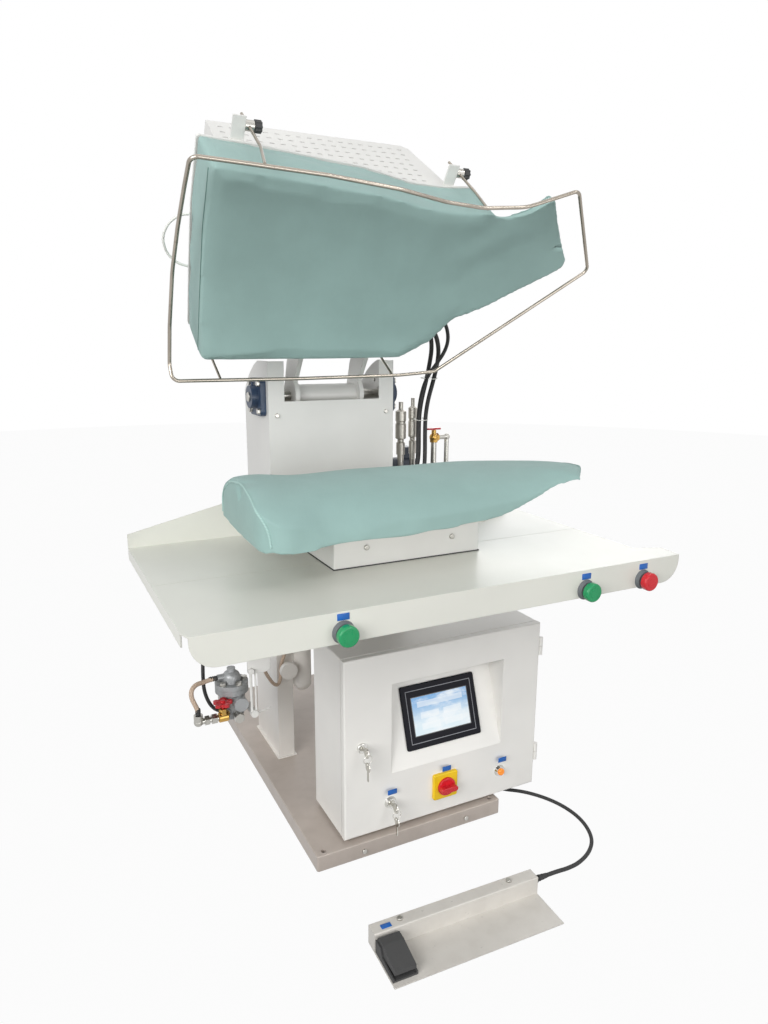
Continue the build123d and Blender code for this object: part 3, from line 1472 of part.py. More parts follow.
pedal_left_x = pedal_x - pedal_length / 2
box_front_y = pedal_y - pedal_box_depth / 2
pedal_screw_xs = (pedal_left_x + 62, pedal_left_x + 320)
pedal_screw_planes = [facing(x, pedal_y + 2, pedal_box_height, (0, 0, 1)) for x in pedal_screw_xs]
gland_z = 25.0

with BuildPart() as pedal_plate:
    with Locations((pedal_x, pedal_y + pedal_box_depth / 2, 0)):
        Box(pedal_length, pedal_plate_depth, pedal_plate_thickness,
            align=(Align.CENTER, Align.MAX, Align.MIN))

with BuildPart() as pedal_box:
    with Locations((pedal_x, pedal_y, pedal_plate_thickness)):
        Box(pedal_length, pedal_box_depth, pedal_box_height - pedal_plate_thickness, align=UP)
    fillet(pedal_box.edges().filter_by(Axis.X).group_by(Axis.Z)[-1], 2.5)
    offset(amount=-thin_sheet, openings=pedal_box.faces().sort_by(Axis.Z)[0])
    with Locations(*pedal_screw_planes):
        Hole(screw_shank / 2 + hole_clearance, depth=2 * sheet)
    with Locations(facing(pedal_x + pedal_length / 2, pedal_y, gland_z, RIGHT)):
        Hole(gland_diameter / 2 - 2 + hole_clearance, depth=2 * sheet)

switch_x = pedal_left_x + switch_width / 2 + 2
switch_back_y = box_front_y - air_gap
switch_pin_y = switch_back_y - 9
switch_pin_z = 22.0
switch_bottom = pedal_plate_thickness
inner_width = switch_width - 2 * switch_wall

with BuildPart() as foot_switch:
    with BuildSketch(Plane.YZ.offset(switch_x - switch_width / 2)):
        with BuildLine():
            Polyline(
                (switch_back_y, switch_bottom),
                (switch_back_y, switch_lug_height),
                (switch_back_y - 20, switch_lug_height),
                (switch_back_y - 30, switch_side_height),
                (switch_back_y - switch_depth, switch_side_height - 5),
                (switch_back_y - switch_depth, switch_bottom),
                close=True,
            )
        make_face()
    extrude(amount=switch_width)
    with Locations((switch_x, switch_back_y - switch_depth / 2, switch_bottom + switch_floor)):
        Box(inner_width, switch_depth + 2, switch_lug_height, align=UP, mode=Mode.SUBTRACT)
    with Locations(facing(switch_x, switch_pin_y, switch_pin_z, RIGHT)):
        Cylinder(treadle_pin / 2, switch_width)

with BuildPart() as foot_treadle:
    with BuildSketch(Plane.YZ.offset(switch_x - inner_width / 2 + treadle_clearance)):
        with BuildLine():
            Polyline(
                (switch_back_y - 1.5, 16),
                (switch_back_y - 1.5, treadle_back_height - 4),
                (switch_back_y - 6, treadle_back_height),
                (switch_back_y - 26, treadle_back_height),
                (switch_back_y - switch_depth, treadle_front_height),
                (switch_back_y - switch_depth, 17),
                (switch_back_y - 14, 13),
                close=True,
            )
        make_face()
        with Locations((switch_pin_y, switch_pin_z)):
            Circle(treadle_pin / 2 + running_fit, mode=Mode.SUBTRACT)
    extrude(amount=inner_width - 2 * treadle_clearance)

with BuildPart() as pedal_gland:
    with Locations(facing(pedal_x + pedal_length / 2, pedal_y, gland_z, RIGHT)):
        Cylinder(gland_diameter / 2, 8, align=UP)
        Cylinder(gland_diameter / 2 - 2, 6, align=DOWN)
        Cylinder(gland_diameter / 2 - 2, gland_length, align=UP)
    with Locations(facing(pedal_x + pedal_length / 2 + gland_length, pedal_y, gland_z, RIGHT)):
        Hole(cable_diameter / 2, depth=gland_length / 2)

pedal_pieces = {
    "pedal_plate": pedal_plate,
    "pedal_box": pedal_box,
    "foot_switch": foot_switch,
    "foot_treadle": foot_treadle,
}
pedal_line = Axis((pedal_x, pedal_y, 0), (0, 0, 1))
for name, piece in pedal_pieces.items():
    piece.part = piece.part.rotate(pedal_line, pedal_turn)
    pieces[name] = piece

# Cable from under the cabinet, over the floor, to the gland on the pedal
turn = radians(pedal_turn)
gland_reach = pedal_length / 2 + gland_length / 2
gland_mouth = (pedal_x + gland_reach * cos(turn), pedal_y + gland_reach * sin(turn), gland_z)
cable_floor = cable_diameter / 2 + 0.2
cabinet_gland_x = 282.0
cabinet_gland_y = -345.0
cable_route = [
    (cabinet_gland_x, cabinet_gland_y, cabinet_bottom - 8),
    (cabinet_gland_x, cabinet_gland_y, 27),
    (cabinet_gland_x + 5, cabinet_gland_y - 5, 14),
    (cabinet_gland_x + 17, cabinet_gland_y - 15, cable_floor + 2),
    (cabinet_gland_x + 35, cabinet_gland_y - 29, cable_floor),
    (cabinet_gland_x + 57, cabinet_gland_y - 45, cable_floor),
    (363, -414, cable_floor),
    (388, -452, cable_floor),
    (405, -497, cable_floor),
    (410, -546, cable_floor),
    (401, -592, cable_floor),
    (379, -634, cable_floor),
    (341, -664, cable_floor),
    (294, -683, 7),
    (252, -692, 14),
    (222, -696, 21),
    (gland_mouth[0] + 22 * cos(turn), gland_mouth[1] + 22 * sin(turn), gland_z),
    gland_mouth,
]
cable_part, cable_radii = cord(cable_route, cable_diameter)
print("cable radii", [round(r, 1) for r in cable_radii])
cable_runs = [(Vector(*b) - Vector(*a)).length for a, b in zip(cable_route, cable_route[1:])]
print("cable length", round(sum(cable_runs)))
with BuildPart() as pedal_cable:
    add(cable_part)
pieces["pedal_cable"] = pedal_cable

with BuildPart() as cable_glands:
    add(pedal_gland.part.rotate(pedal_line, pedal_turn))
    with Locations((cabinet_gland_x, cabinet_gland_y, cabinet_bottom)):
        Cylinder(gland_diameter / 2 - 1, 12, align=DOWN)
        Cylinder(gland_diameter / 2 + 1, 5, align=DOWN)
    with Locations((cabinet_gland_x, cabinet_gland_y, cabinet_bottom - 12)):
        Cylinder(cable_diameter / 2 + hole_clearance, 4, align=UP, mode=Mode.SUBTRACT)
pieces["cable_glands"] = cable_glands

# Fasteners

with BuildPart() as pan_screws:
    with Locations(*base_screw_planes, *pedestal_screw_planes, *column_screw_planes, *rear_screw_planes):
        add(pan_screw())
    pedal_screws = [Plane(plane.location) for plane in pedal_screw_planes]
pedal_screw_parts = []
for plane in pedal_screws:
    pedal_screw_parts.append(pan_screw().moved(plane.location).rotate(pedal_line, pedal_turn))
with BuildPart() as all_screws:
    add(pan_screws.part)
    add(pedal_screw_parts)
pieces["pan_screws"] = all_screws

with BuildPart() as hex_bolts:
    with Locations(*bearing_bolt_planes, *trap_bolt_planes):
        add(hex_bolt())
pieces["hex_bolts"] = hex_bolts

for name, piece in pieces.items():
    piece.part.label = name
    export_step(piece.part, f"parts/{name}.step")
print(len(pieces), "pieces")
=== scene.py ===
import logging
from dataclasses import dataclass, field
from enum import Enum
from math import cos, pi, radians, sin

import bmesh
import bpy
import numpy as np
from mathutils import Matrix, Vector


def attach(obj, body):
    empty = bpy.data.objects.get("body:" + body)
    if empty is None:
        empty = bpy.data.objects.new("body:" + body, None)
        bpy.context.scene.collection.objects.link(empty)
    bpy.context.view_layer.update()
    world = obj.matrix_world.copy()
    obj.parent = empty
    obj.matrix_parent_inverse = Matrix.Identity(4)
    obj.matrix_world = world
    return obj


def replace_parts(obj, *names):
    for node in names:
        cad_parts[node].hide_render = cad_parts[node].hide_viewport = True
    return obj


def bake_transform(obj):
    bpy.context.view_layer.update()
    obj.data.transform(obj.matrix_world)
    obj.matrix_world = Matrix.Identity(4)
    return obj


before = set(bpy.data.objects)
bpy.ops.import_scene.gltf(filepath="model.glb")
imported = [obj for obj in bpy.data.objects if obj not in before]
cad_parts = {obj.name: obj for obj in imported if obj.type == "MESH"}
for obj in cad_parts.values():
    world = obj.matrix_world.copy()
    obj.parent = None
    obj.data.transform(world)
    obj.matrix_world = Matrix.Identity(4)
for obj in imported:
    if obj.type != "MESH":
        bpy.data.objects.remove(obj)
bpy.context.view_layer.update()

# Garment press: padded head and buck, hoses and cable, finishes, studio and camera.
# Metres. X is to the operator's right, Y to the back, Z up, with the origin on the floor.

log = logging.getLogger("garment_press")

Colour = tuple[float, float, float, float]
Triple = tuple[float, float, float]
Pair = tuple[float, float]
Route = tuple[Triple, ...]

MM = 0.001
ROUND = 2 * pi
HEAD_OPEN = radians(54.0)
SCREEN_CENTRE: Triple = (0.095, -0.396, 0.296)


def tint(code: str) -> Colour:
    """Turn a screen colour code of six hexadecimal digits, red first, into linear light."""
    channels = np.array([int(code[i:i + 2], 16) for i in (0, 2, 4)]) / 255.0
    linear = np.where(channels <= 0.04045, channels / 12.92, ((channels + 0.055) / 1.055) ** 2.4)
    return (*linear.tolist(), 1.0)


def shade(colour: Colour, factor: float) -> Colour:
    """Return the colour with its light scaled by a factor."""
    return (colour[0] * factor, colour[1] * factor, colour[2] * factor, colour[3])


# Shader tools


class Signal:
    """A node's output that takes part in arithmetic on values."""

    def __init__(self, bench: "Bench", socket: bpy.types.NodeSocket) -> None:
        """Keep the bench that adds nodes and the socket that carries the value."""
        self.bench = bench
        self.socket = socket

    def _maths(self, operation: str, *terms: "Signal | float") -> "Signal":
        """Add one Math node over the terms and return its output."""
        return self.bench.signal("Math", {"operation": operation}, dict(enumerate(terms)))

    def __add__(self, other: "Signal | float") -> "Signal":
        """Return self + other."""
        return self._maths("ADD", self, other)

    def __radd__(self, other: float) -> "Signal":
        """Return other + self."""
        return self._maths("ADD", other, self)

    def __sub__(self, other: "Signal | float") -> "Signal":
        """Return self - other."""
        return self._maths("SUBTRACT", self, other)

    def __rsub__(self, other: float) -> "Signal":
        """Return other - self."""
        return self._maths("SUBTRACT", other, self)

    def __mul__(self, other: "Signal | float") -> "Signal":
        """Return self * other."""
        return self._maths("MULTIPLY", self, other)

    def __truediv__(self, other: "Signal | float") -> "Signal":
        """Return self / other."""
        return self._maths("DIVIDE", self, other)

    def __abs__(self) -> "Signal":
        """Return the size of self without its sign."""
        return self._maths("ABSOLUTE", self)

    def wave(self) -> "Signal":
        """Return the sine of self."""
        return self._maths("SINE", self)

    def most(self, other: "Signal | float") -> "Signal":
        """Return the larger of self and other."""
        return self._maths("MAXIMUM", self, other)

    def step(self, start: float, end: float) -> "Signal":
        """Rise smoothly from 0 where self is start to 1 where it is end, level beyond both."""
        return self.bench.signal(
            "MapRange", {"interpolation_type": "SMOOTHSTEP", "clamp": True},
            {"Value": self, "From Min": start, "From Max": end, "To Min": 0.0, "To Max": 1.0}, "Result",
        )

    def band(self, low: float, high: float, soft: float) -> "Signal":
        """Return 1 where self lies between low and high, with soft edges, and 0 elsewhere."""
        return self.step(low - soft, low + soft) * (1.0 - self.step(high - soft, high + soft))


class Bench:
    """Builds the node tree of a material or of the world."""

    def __init__(self, owner: bpy.types.Material | bpy.types.World) -> None:
        """Empty the owner's tree."""
        owner.use_nodes = True
        self.tree = owner.node_tree
        self.tree.nodes.clear()

    def add(
        self, kind: str, settings: dict[str, object] | None = None, sockets: dict | None = None
    ) -> bpy.types.Node:
        """Add one node.

        Args:
            kind: the node's type name, without the ShaderNode before it.
            settings: properties of the node, set before its sockets.
            sockets: value, Signal or output socket for each input, by name or place.

        Returns:
            The new node.
        """
        node = self.tree.nodes.new("ShaderNode" + kind)
        for key, value in (settings or {}).items():
            setattr(node, key, value)
        for key, value in (sockets or {}).items():
            source = value.socket if isinstance(value, Signal) else value
            if isinstance(source, bpy.types.NodeSocket):
                self.tree.links.new(source, node.inputs[key])
            else:
                node.inputs[key].default_value = source
        return node

    def signal(
        self, kind: str, settings: dict[str, object] | None = None, sockets: dict | None = None,
        output: int | str = 0,
    ) -> Signal:
        """Add one node, as add does, and return one of its outputs."""
        return Signal(self, self.add(kind, settings, sockets).outputs[output])

    def place(self) -> Signal:
        """Return the place of a point in the piece's own space, in metres."""
        return self.signal("TexCoord", output="Object")

    def stretch(self, vector: Signal, scale: Triple, turn: Triple = (0.0, 0.0, 0.0)) -> Signal:
        """Turn a vector, in radians, and scale it along each axis."""
        sockets = {"Vector": vector, "Rotation": turn, "Scale": scale}
        return self.signal("Mapping", {"vector_type": "POINT"}, sockets)

    def axes(self, vector: Signal) -> tuple[Signal, Signal, Signal]:
        """Return the three parts of a vector."""
        return tuple(Signal(self, output) for output in self.add("SeparateXYZ", None, {0: vector}).outputs)

    def path(self) -> tuple[Signal, Signal]:
        """Return the share of the way round a hose or cord, and the distance along it in metres."""
        return self.axes(self.signal("UVMap", {"uv_map": "path"}, output="UV"))[:2]

    def dot(self, vector: Signal, way: Triple) -> Signal:
        """Return how far a vector reaches along a direction."""
        return self.signal("VectorMath", {"operation": "DOT_PRODUCT"}, {0: vector, 1: way}, "Value")

    def noise(self, vector: Signal, scale: float, detail: float = 2.0, rough: float = 0.5) -> Signal:
        """Return soft noise between about 0.25 and 0.75, of that many features to a metre."""
        sockets = {"Vector": vector, "Scale": scale, "Detail": detail, "Roughness": rough}
        return self.signal("TexNoise", None, sockets)

    def cells(self, vector: Signal, scale: float) -> Signal:
        """Return the distance to the nearest of many scattered points."""
        return self.signal("TexVoronoi", None, {"Vector": vector, "Scale": scale}, "Distance")

    def blend(self, factor: Signal | float, first: object, second: object) -> Signal:
        """Mix two colours, each a value or a Signal: 0 gives the first and 1 the second."""
        settings = {"data_type": "RGBA", "blend_type": "MIX"}
        return self.signal("Mix", settings, {0: factor, 6: first, 7: second}, 2)

    def rounded(self, radius: float) -> Signal:
        """Return a normal that rounds the piece's edges by a radius in metres."""
        return self.signal("Bevel", {"samples": 4}, {"Radius": radius})

    def bump(self, height: Signal, depth: float, normal: Signal | None = None) -> Signal:
        """Return a normal tilted by a height field of a depth in metres."""
        sockets = {"Height": height, "Distance": depth, "Strength": 1.0}
        if normal is not None:
            sockets["Normal"] = normal
        return self.signal("Bump", None, sockets)

    def whitened(self, seen: Signal, plain: bpy.types.Node, white: bpy.types.Node, output: str) -> None:
        """Close the tree with one shader, and a white one where the camera sees it.

        Args:
            seen: 1 where the white shader shows.
            plain: shader that lights and shades.
            white: shader that the camera sees.
            output: type name of the output node.
        """
        mixed = self.add("MixShader", None, {0: seen, 1: plain.outputs[0], 2: white.outputs[0]})
        self.add(output, None, {"Surface": mixed.outputs[0]})


# Finishes


@dataclass(frozen=True)
class Recipe:
    """What every finish has: its material's name and its main colour."""

    name: str
    colour: Colour

    def made(self) -> bpy.types.Material:
        """Return a new material of this recipe."""
        material = bpy.data.materials.new(self.name)
        bench = Bench(material)
        shader = bench.add("BsdfPrincipled", None, self.sockets(bench, bench.place()))
        bench.add("OutputMaterial", None, {"Surface": shader.outputs[0]})
        return material

    def sockets(self, bench: Bench, place: Signal) -> dict[str, object]:
        """Return the shader's inputs by name.

        Args:
            bench: adds the nodes.
            place: where a point is on the piece.

        Returns:
            A value or Signal for each input that the recipe sets.
        """
        raise NotImplementedError

    def mottled(self, bench: Bench, cloud: Signal, dark: float, light: float, spread: float = 0.2) -> Signal:
        """Return the colour, from darker to lighter as slow noise goes from low to high."""
        share = cloud.step(0.5 - spread, 0.5 + spread)
        return bench.blend(share, shade(self.colour, dark), shade(self.colour, light))


@dataclass(frozen=True)
class Enamel(Recipe):
    """Sprayed enamel on metal: fine orange peel, slow drifts of tone, grime low down and in streaks."""

    roughness: float = 0.36
    drift: float = 0.035
    peel: float = 0.00004
    grime: float = 0.10
    edge: float = 0.0012
    wear: float = 0.0
    dirt: Colour = tint("8D8174")
    bare: Colour = tint("6E6C68")
    foot: float = 0.16

    def sockets(self, bench: Bench, place: Signal) -> dict[str, object]:
        """Return the shader's inputs."""
        cloud = bench.noise(place, 5.0, 3.0)
        grain = bench.noise(place, 520.0, 2.0)
        rub = bench.noise(bench.stretch(place, (22.0, 22.0, 150.0)), 1.0, 3.0, 0.6)
        tone = self.mottled(bench, cloud, 1 - self.drift, 1 + self.drift, spread=0.25)
        low = 1.0 - bench.axes(place)[2].step(0.0, self.foot)
        splashes = low * bench.noise(place, 30.0, 4.0).step(0.35, 0.8) * self.grime
        streaks = rub.step(0.62, 0.85) * (self.grime * 0.35)
        soiled = bench.blend(splashes + streaks, tone, self.dirt)
        if self.wear:
            chips = bench.noise(place, 90.0, 5.0, 0.65).step(0.66, 0.70) * self.wear
            soiled = bench.blend(chips, soiled, self.bare)
        return {
            "Base Color": soiled,
            "Roughness": self.roughness + (cloud - 0.5) * 0.12 + (rub - 0.5) * 0.08,
            "Normal": bench.bump(grain, self.peel, bench.rounded(self.edge)),
            "Coat Weight": 0.12, "Coat Roughness": 0.25,
        }


@dataclass(frozen=True)
class PressCloth(Recipe):
    """Woven press cloth: warp and weft, soft drag creases, faint lint and a dry sheen.

    The weave is the product of two sine waves, one along X and one along the cloth's other way.
    """

    across: Triple
    pitch: float = 0.0011
    weave_depth: float = 0.00022
    crease: float = 0.0016
    crease_way: Triple = (5.0, 16.0, 16.0)
    lint: Colour = tint("DDE6E2")

    def sockets(self, bench: Bench, place: Signal) -> dict[str, object]:
        """Return the shader's inputs."""
        warp, weft = (
            (bench.dot(place, way) * (ROUND / self.pitch)).wave() for way in ((1.0, 0.0, 0.0), self.across)
        )
        weave = warp * weft * 0.5 + 0.5
        folds = bench.noise(bench.stretch(place, self.crease_way, (0.0, 0.0, 0.35)), 1.0, 3.0, 0.45)
        slub = bench.noise(bench.stretch(place, (700.0, 60.0, 60.0)), 1.0, 2.0)
        cloud = bench.noise(place, 9.0, 4.0, 0.55)
        tone = self.mottled(bench, cloud, 0.955, 1.04)
        threads = bench.blend(weave * 0.10 + (slub - 0.4) * 0.12, tone, shade(self.colour, 0.62))
        specks = bench.cells(place, 240.0).step(0.10, 0.02) * bench.noise(place, 26.0).step(0.60, 0.72)
        return {
            "Base Color": bench.blend(specks * 0.25, threads, self.lint),
            "Roughness": 0.78 + (cloud - 0.5) * 0.12,
            "Normal": bench.bump(weave, self.weave_depth, bench.bump(folds, self.crease)),
            "Sheen Weight": 0.18, "Sheen Roughness": 0.45, "Specular IOR Level": 0.25,
        }


@dataclass(frozen=True)
class Stitch(Recipe):
    """Sewn cord: threads whose twist runs round and along the piece's own map at once."""

    turns: float = 3.0
    pitch: float = 0.004
    depth: float = 0.0004

    def sockets(self, bench: Bench, place: Signal) -> dict[str, object]:
        """Return the shader's inputs."""
        around, along = bench.path()
        twist = ((around * self.turns + along / self.pitch) * ROUND).wave() * 0.5 + 0.5
        cloud = bench.noise(place, 60.0, 3.0)
        tone = bench.blend(twist * 0.5, shade(self.colour, 1.1), shade(self.colour, 0.6))
        return {
            "Base Color": bench.blend(cloud * 0.3, tone, shade(self.colour, 0.8)),
            "Roughness": 0.8 + (cloud - 0.5) * 0.1,
            "Normal": bench.bump(twist, self.depth), "Sheen Weight": 0.15,
        }


@dataclass(frozen=True)
class Metal(Recipe):
    """Bare or plated metal with drawn grain, smudges and dull spots."""

    roughness: float = 0.28
    grain: Triple = (30.0, 900.0, 900.0)
    grain_depth: float = 0.00002
    stain: float = 0.15
    stain_colour: Colour = (0.10, 0.075, 0.05, 1.0)
    edge: float = 0.0006

    def sockets(self, bench: Bench, place: Signal) -> dict[str, object]:
        """Return the shader's inputs."""
        lines = bench.noise(bench.stretch(place, self.grain), 1.0, 3.0, 0.6)
        smudge = bench.noise(place, 45.0, 4.0, 0.6)
        tone = self.mottled(bench, bench.noise(place, 12.0, 2.0), 0.9, 1.05)
        rough = self.roughness + (smudge - 0.5) * 0.22 + (lines - 0.5) * 0.15
        return {
            "Base Color": bench.blend(smudge.step(0.55, 0.8) * self.stain, tone, self.stain_colour),
            "Metallic": 1.0, "Roughness": rough.most(0.04),
            "Normal": bench.bump(lines, self.grain_depth, bench.rounded(self.edge)),
        }


@dataclass(frozen=True)
class Casting(Recipe):
    """Painted casting with a coarse skin."""

    roughness: float = 0.45
    depth: float = 0.0004
    metallic: float = 0.0
    edge: float = 0.0015

    def sockets(self, bench: Bench, place: Signal) -> dict[str, object]:
        """Return the shader's inputs."""
        skin = bench.noise(place, 260.0, 4.0, 0.6)
        pits = bench.cells(place, 330.0)
        tone = self.mottled(bench, bench.noise(place, 20.0, 3.0), 0.82, 1.15)
        return {
            "Base Color": bench.blend(skin.step(0.55, 0.75) * 0.18, tone, shade(self.colour, 1.9)),
            "Metallic": self.metallic, "Roughness": self.roughness + (skin - 0.5) * 0.25,
            "Normal": bench.bump(skin + pits * 0.3, self.depth, bench.rounded(self.edge)),
        }


@dataclass(frozen=True)
class Moulding(Recipe):
    """Moulded plastic or rubber: fine spark texture, finger marks and a little dust."""

    roughness: float = 0.45
    texture: float = 0.00006
    coarse: float = 900.0
    dust: float = 0.10
    coat: float = 0.0
    glow: float = 0.0
    gloss: float = 0.22
    edge: float = 0.0008
    dust_colour: Colour = tint("A9A59C")

    def sockets(self, bench: Bench, place: Signal) -> dict[str, object]:
        """Return the shader's inputs."""
        spark = bench.noise(place, self.coarse, 2.0, 0.7)
        marks = bench.noise(place, 55.0, 4.0, 0.6)
        tone = self.mottled(bench, bench.noise(place, 14.0, 2.0), 0.93, 1.08)
        rough = self.roughness + (marks - 0.5) * 0.2
        sockets = {
            "Base Color": bench.blend(marks.step(0.52, 0.8) * self.dust, tone, self.dust_colour),
            "Roughness": rough.most(0.05), "Specular IOR Level": self.gloss,
            "Normal": bench.bump(spark, self.texture, bench.rounded(self.edge)),
            "Coat Weight": self.coat, "Coat Roughness": 0.08,
        }
        if self.glow:
            sockets |= {"Emission Color": tone, "Emission Strength": self.glow}
        return sockets


@dataclass(frozen=True)
class Hose(Recipe):
    """Rubber or braided hose: two sets of sine ridges wind round it in opposite ways."""

    braid: Colour
    strands: float = 8.0
    pitch: float = 0.012
    depth: float = 0.0004
    roughness: float = 0.55
    show: float = 0.5
    dust_colour: Colour = tint("8A8378")

    def sockets(self, bench: Bench, place: Signal) -> dict[str, object]:
        """Return the shader's inputs."""
        around, along = bench.path()
        first = ((around * self.strands + along / self.pitch) * ROUND).wave()
        second = ((around * self.strands - along / self.pitch) * ROUND).wave()
        ridges = first.most(second) * 0.5 + 0.5
        scuff = bench.noise(place, 70.0, 4.0, 0.6)
        tone = bench.blend(ridges.step(0.35, 0.9) * self.show, self.colour, self.braid)
        return {
            "Base Color": bench.blend(scuff.step(0.55, 0.8) * 0.2, tone, self.dust_colour),
            "Roughness": self.roughness + (scuff - 0.5) * 0.2,
            "Normal": bench.bump(ridges, self.depth),
        }


@dataclass(frozen=True)
class Bezel(Recipe):
    """Dark moulded frame of a display, with one thin silver line printed round the glass.

    The line is where the larger of the distances past the glass's sides is about 0.
    """

    centre: Triple
    size: Pair
    line: float = 0.0007
    line_soft: float = 0.0002
    texture: float = 0.00004
    edge: float = 0.0008

    def sockets(self, bench: Bench, place: Signal) -> dict[str, object]:
        """Return the shader's inputs."""
        x, _, z = bench.axes(place)
        out = abs(x - self.centre[0]) - self.size[0] / 2
        up = abs(z - self.centre[2]) - self.size[1] / 2
        printed = out.most(up).band(-self.line, self.line, self.line_soft)
        spark = bench.noise(place, 900.0, 2.0, 0.7)
        smear = bench.noise(place, 60.0, 3.0)
        tone = self.mottled(bench, smear, 0.85, 1.2)
        return {
            "Base Color": bench.blend(printed * 0.7, tone, tint("B8BAC0")),
            "Roughness": 0.42 + (smear - 0.5) * 0.2, "Specular IOR Level": 0.12,
            "Normal": bench.bump(spark, self.texture, bench.rounded(self.edge)),
        }


@dataclass(frozen=True)
class Display(Recipe):
    """Lit touch display: a sky-blue field that pales downwards, with plain pale fields on it.

    Each row is left, right, bottom and top of a field, from 0 to 1 of the display's size.
    """

    centre: Triple
    size: Pair
    rows: tuple[tuple[float, float, float, float], ...]
    pale: Colour = tint("D9EEF7")
    cloud: Colour = tint("F4FAFD")
    panel: Colour = tint("F6FBFD")
    border: Colour = tint("06080A")
    glass: Colour = tint("0A0D10")
    brightness: float = 0.62

    def sockets(self, bench: Bench, place: Signal) -> dict[str, object]:
        """Return the shader's inputs."""
        x, _, z = bench.axes(place)
        width, height = self.size
        across = (x - (self.centre[0] - width / 2)) / width
        up = (z - (self.centre[2] - height / 2)) / height
        clouds = bench.noise(bench.stretch(place, (14.0, 14.0, 34.0)), 1.0, 4.0, 0.55)
        sky = bench.blend(up.step(0.15, 1.0), self.pale, self.colour)
        sky = bench.blend(clouds.step(0.40, 0.66) * 0.85, sky, self.cloud)
        fields = None
        for left, right, bottom, top in self.rows:
            one = across.band(left, right, 0.004) * up.band(bottom, top, 0.006)
            fields = one if fields is None else fields.most(one)
        inside = across.band(0.012, 0.988, 0.003) * up.band(0.02, 0.98, 0.004)
        shown = bench.blend(inside, self.border, bench.blend(fields * 0.5, sky, self.panel))
        return {
            "Base Color": bench.blend(0.8, shown, self.glass),
            "Emission Color": shown, "Emission Strength": self.brightness,
            "Roughness": 0.12 + (bench.noise(place, 35.0, 3.0) - 0.5) * 0.12,
            "Coat Weight": 0.4, "Coat Roughness": 0.05,
        }


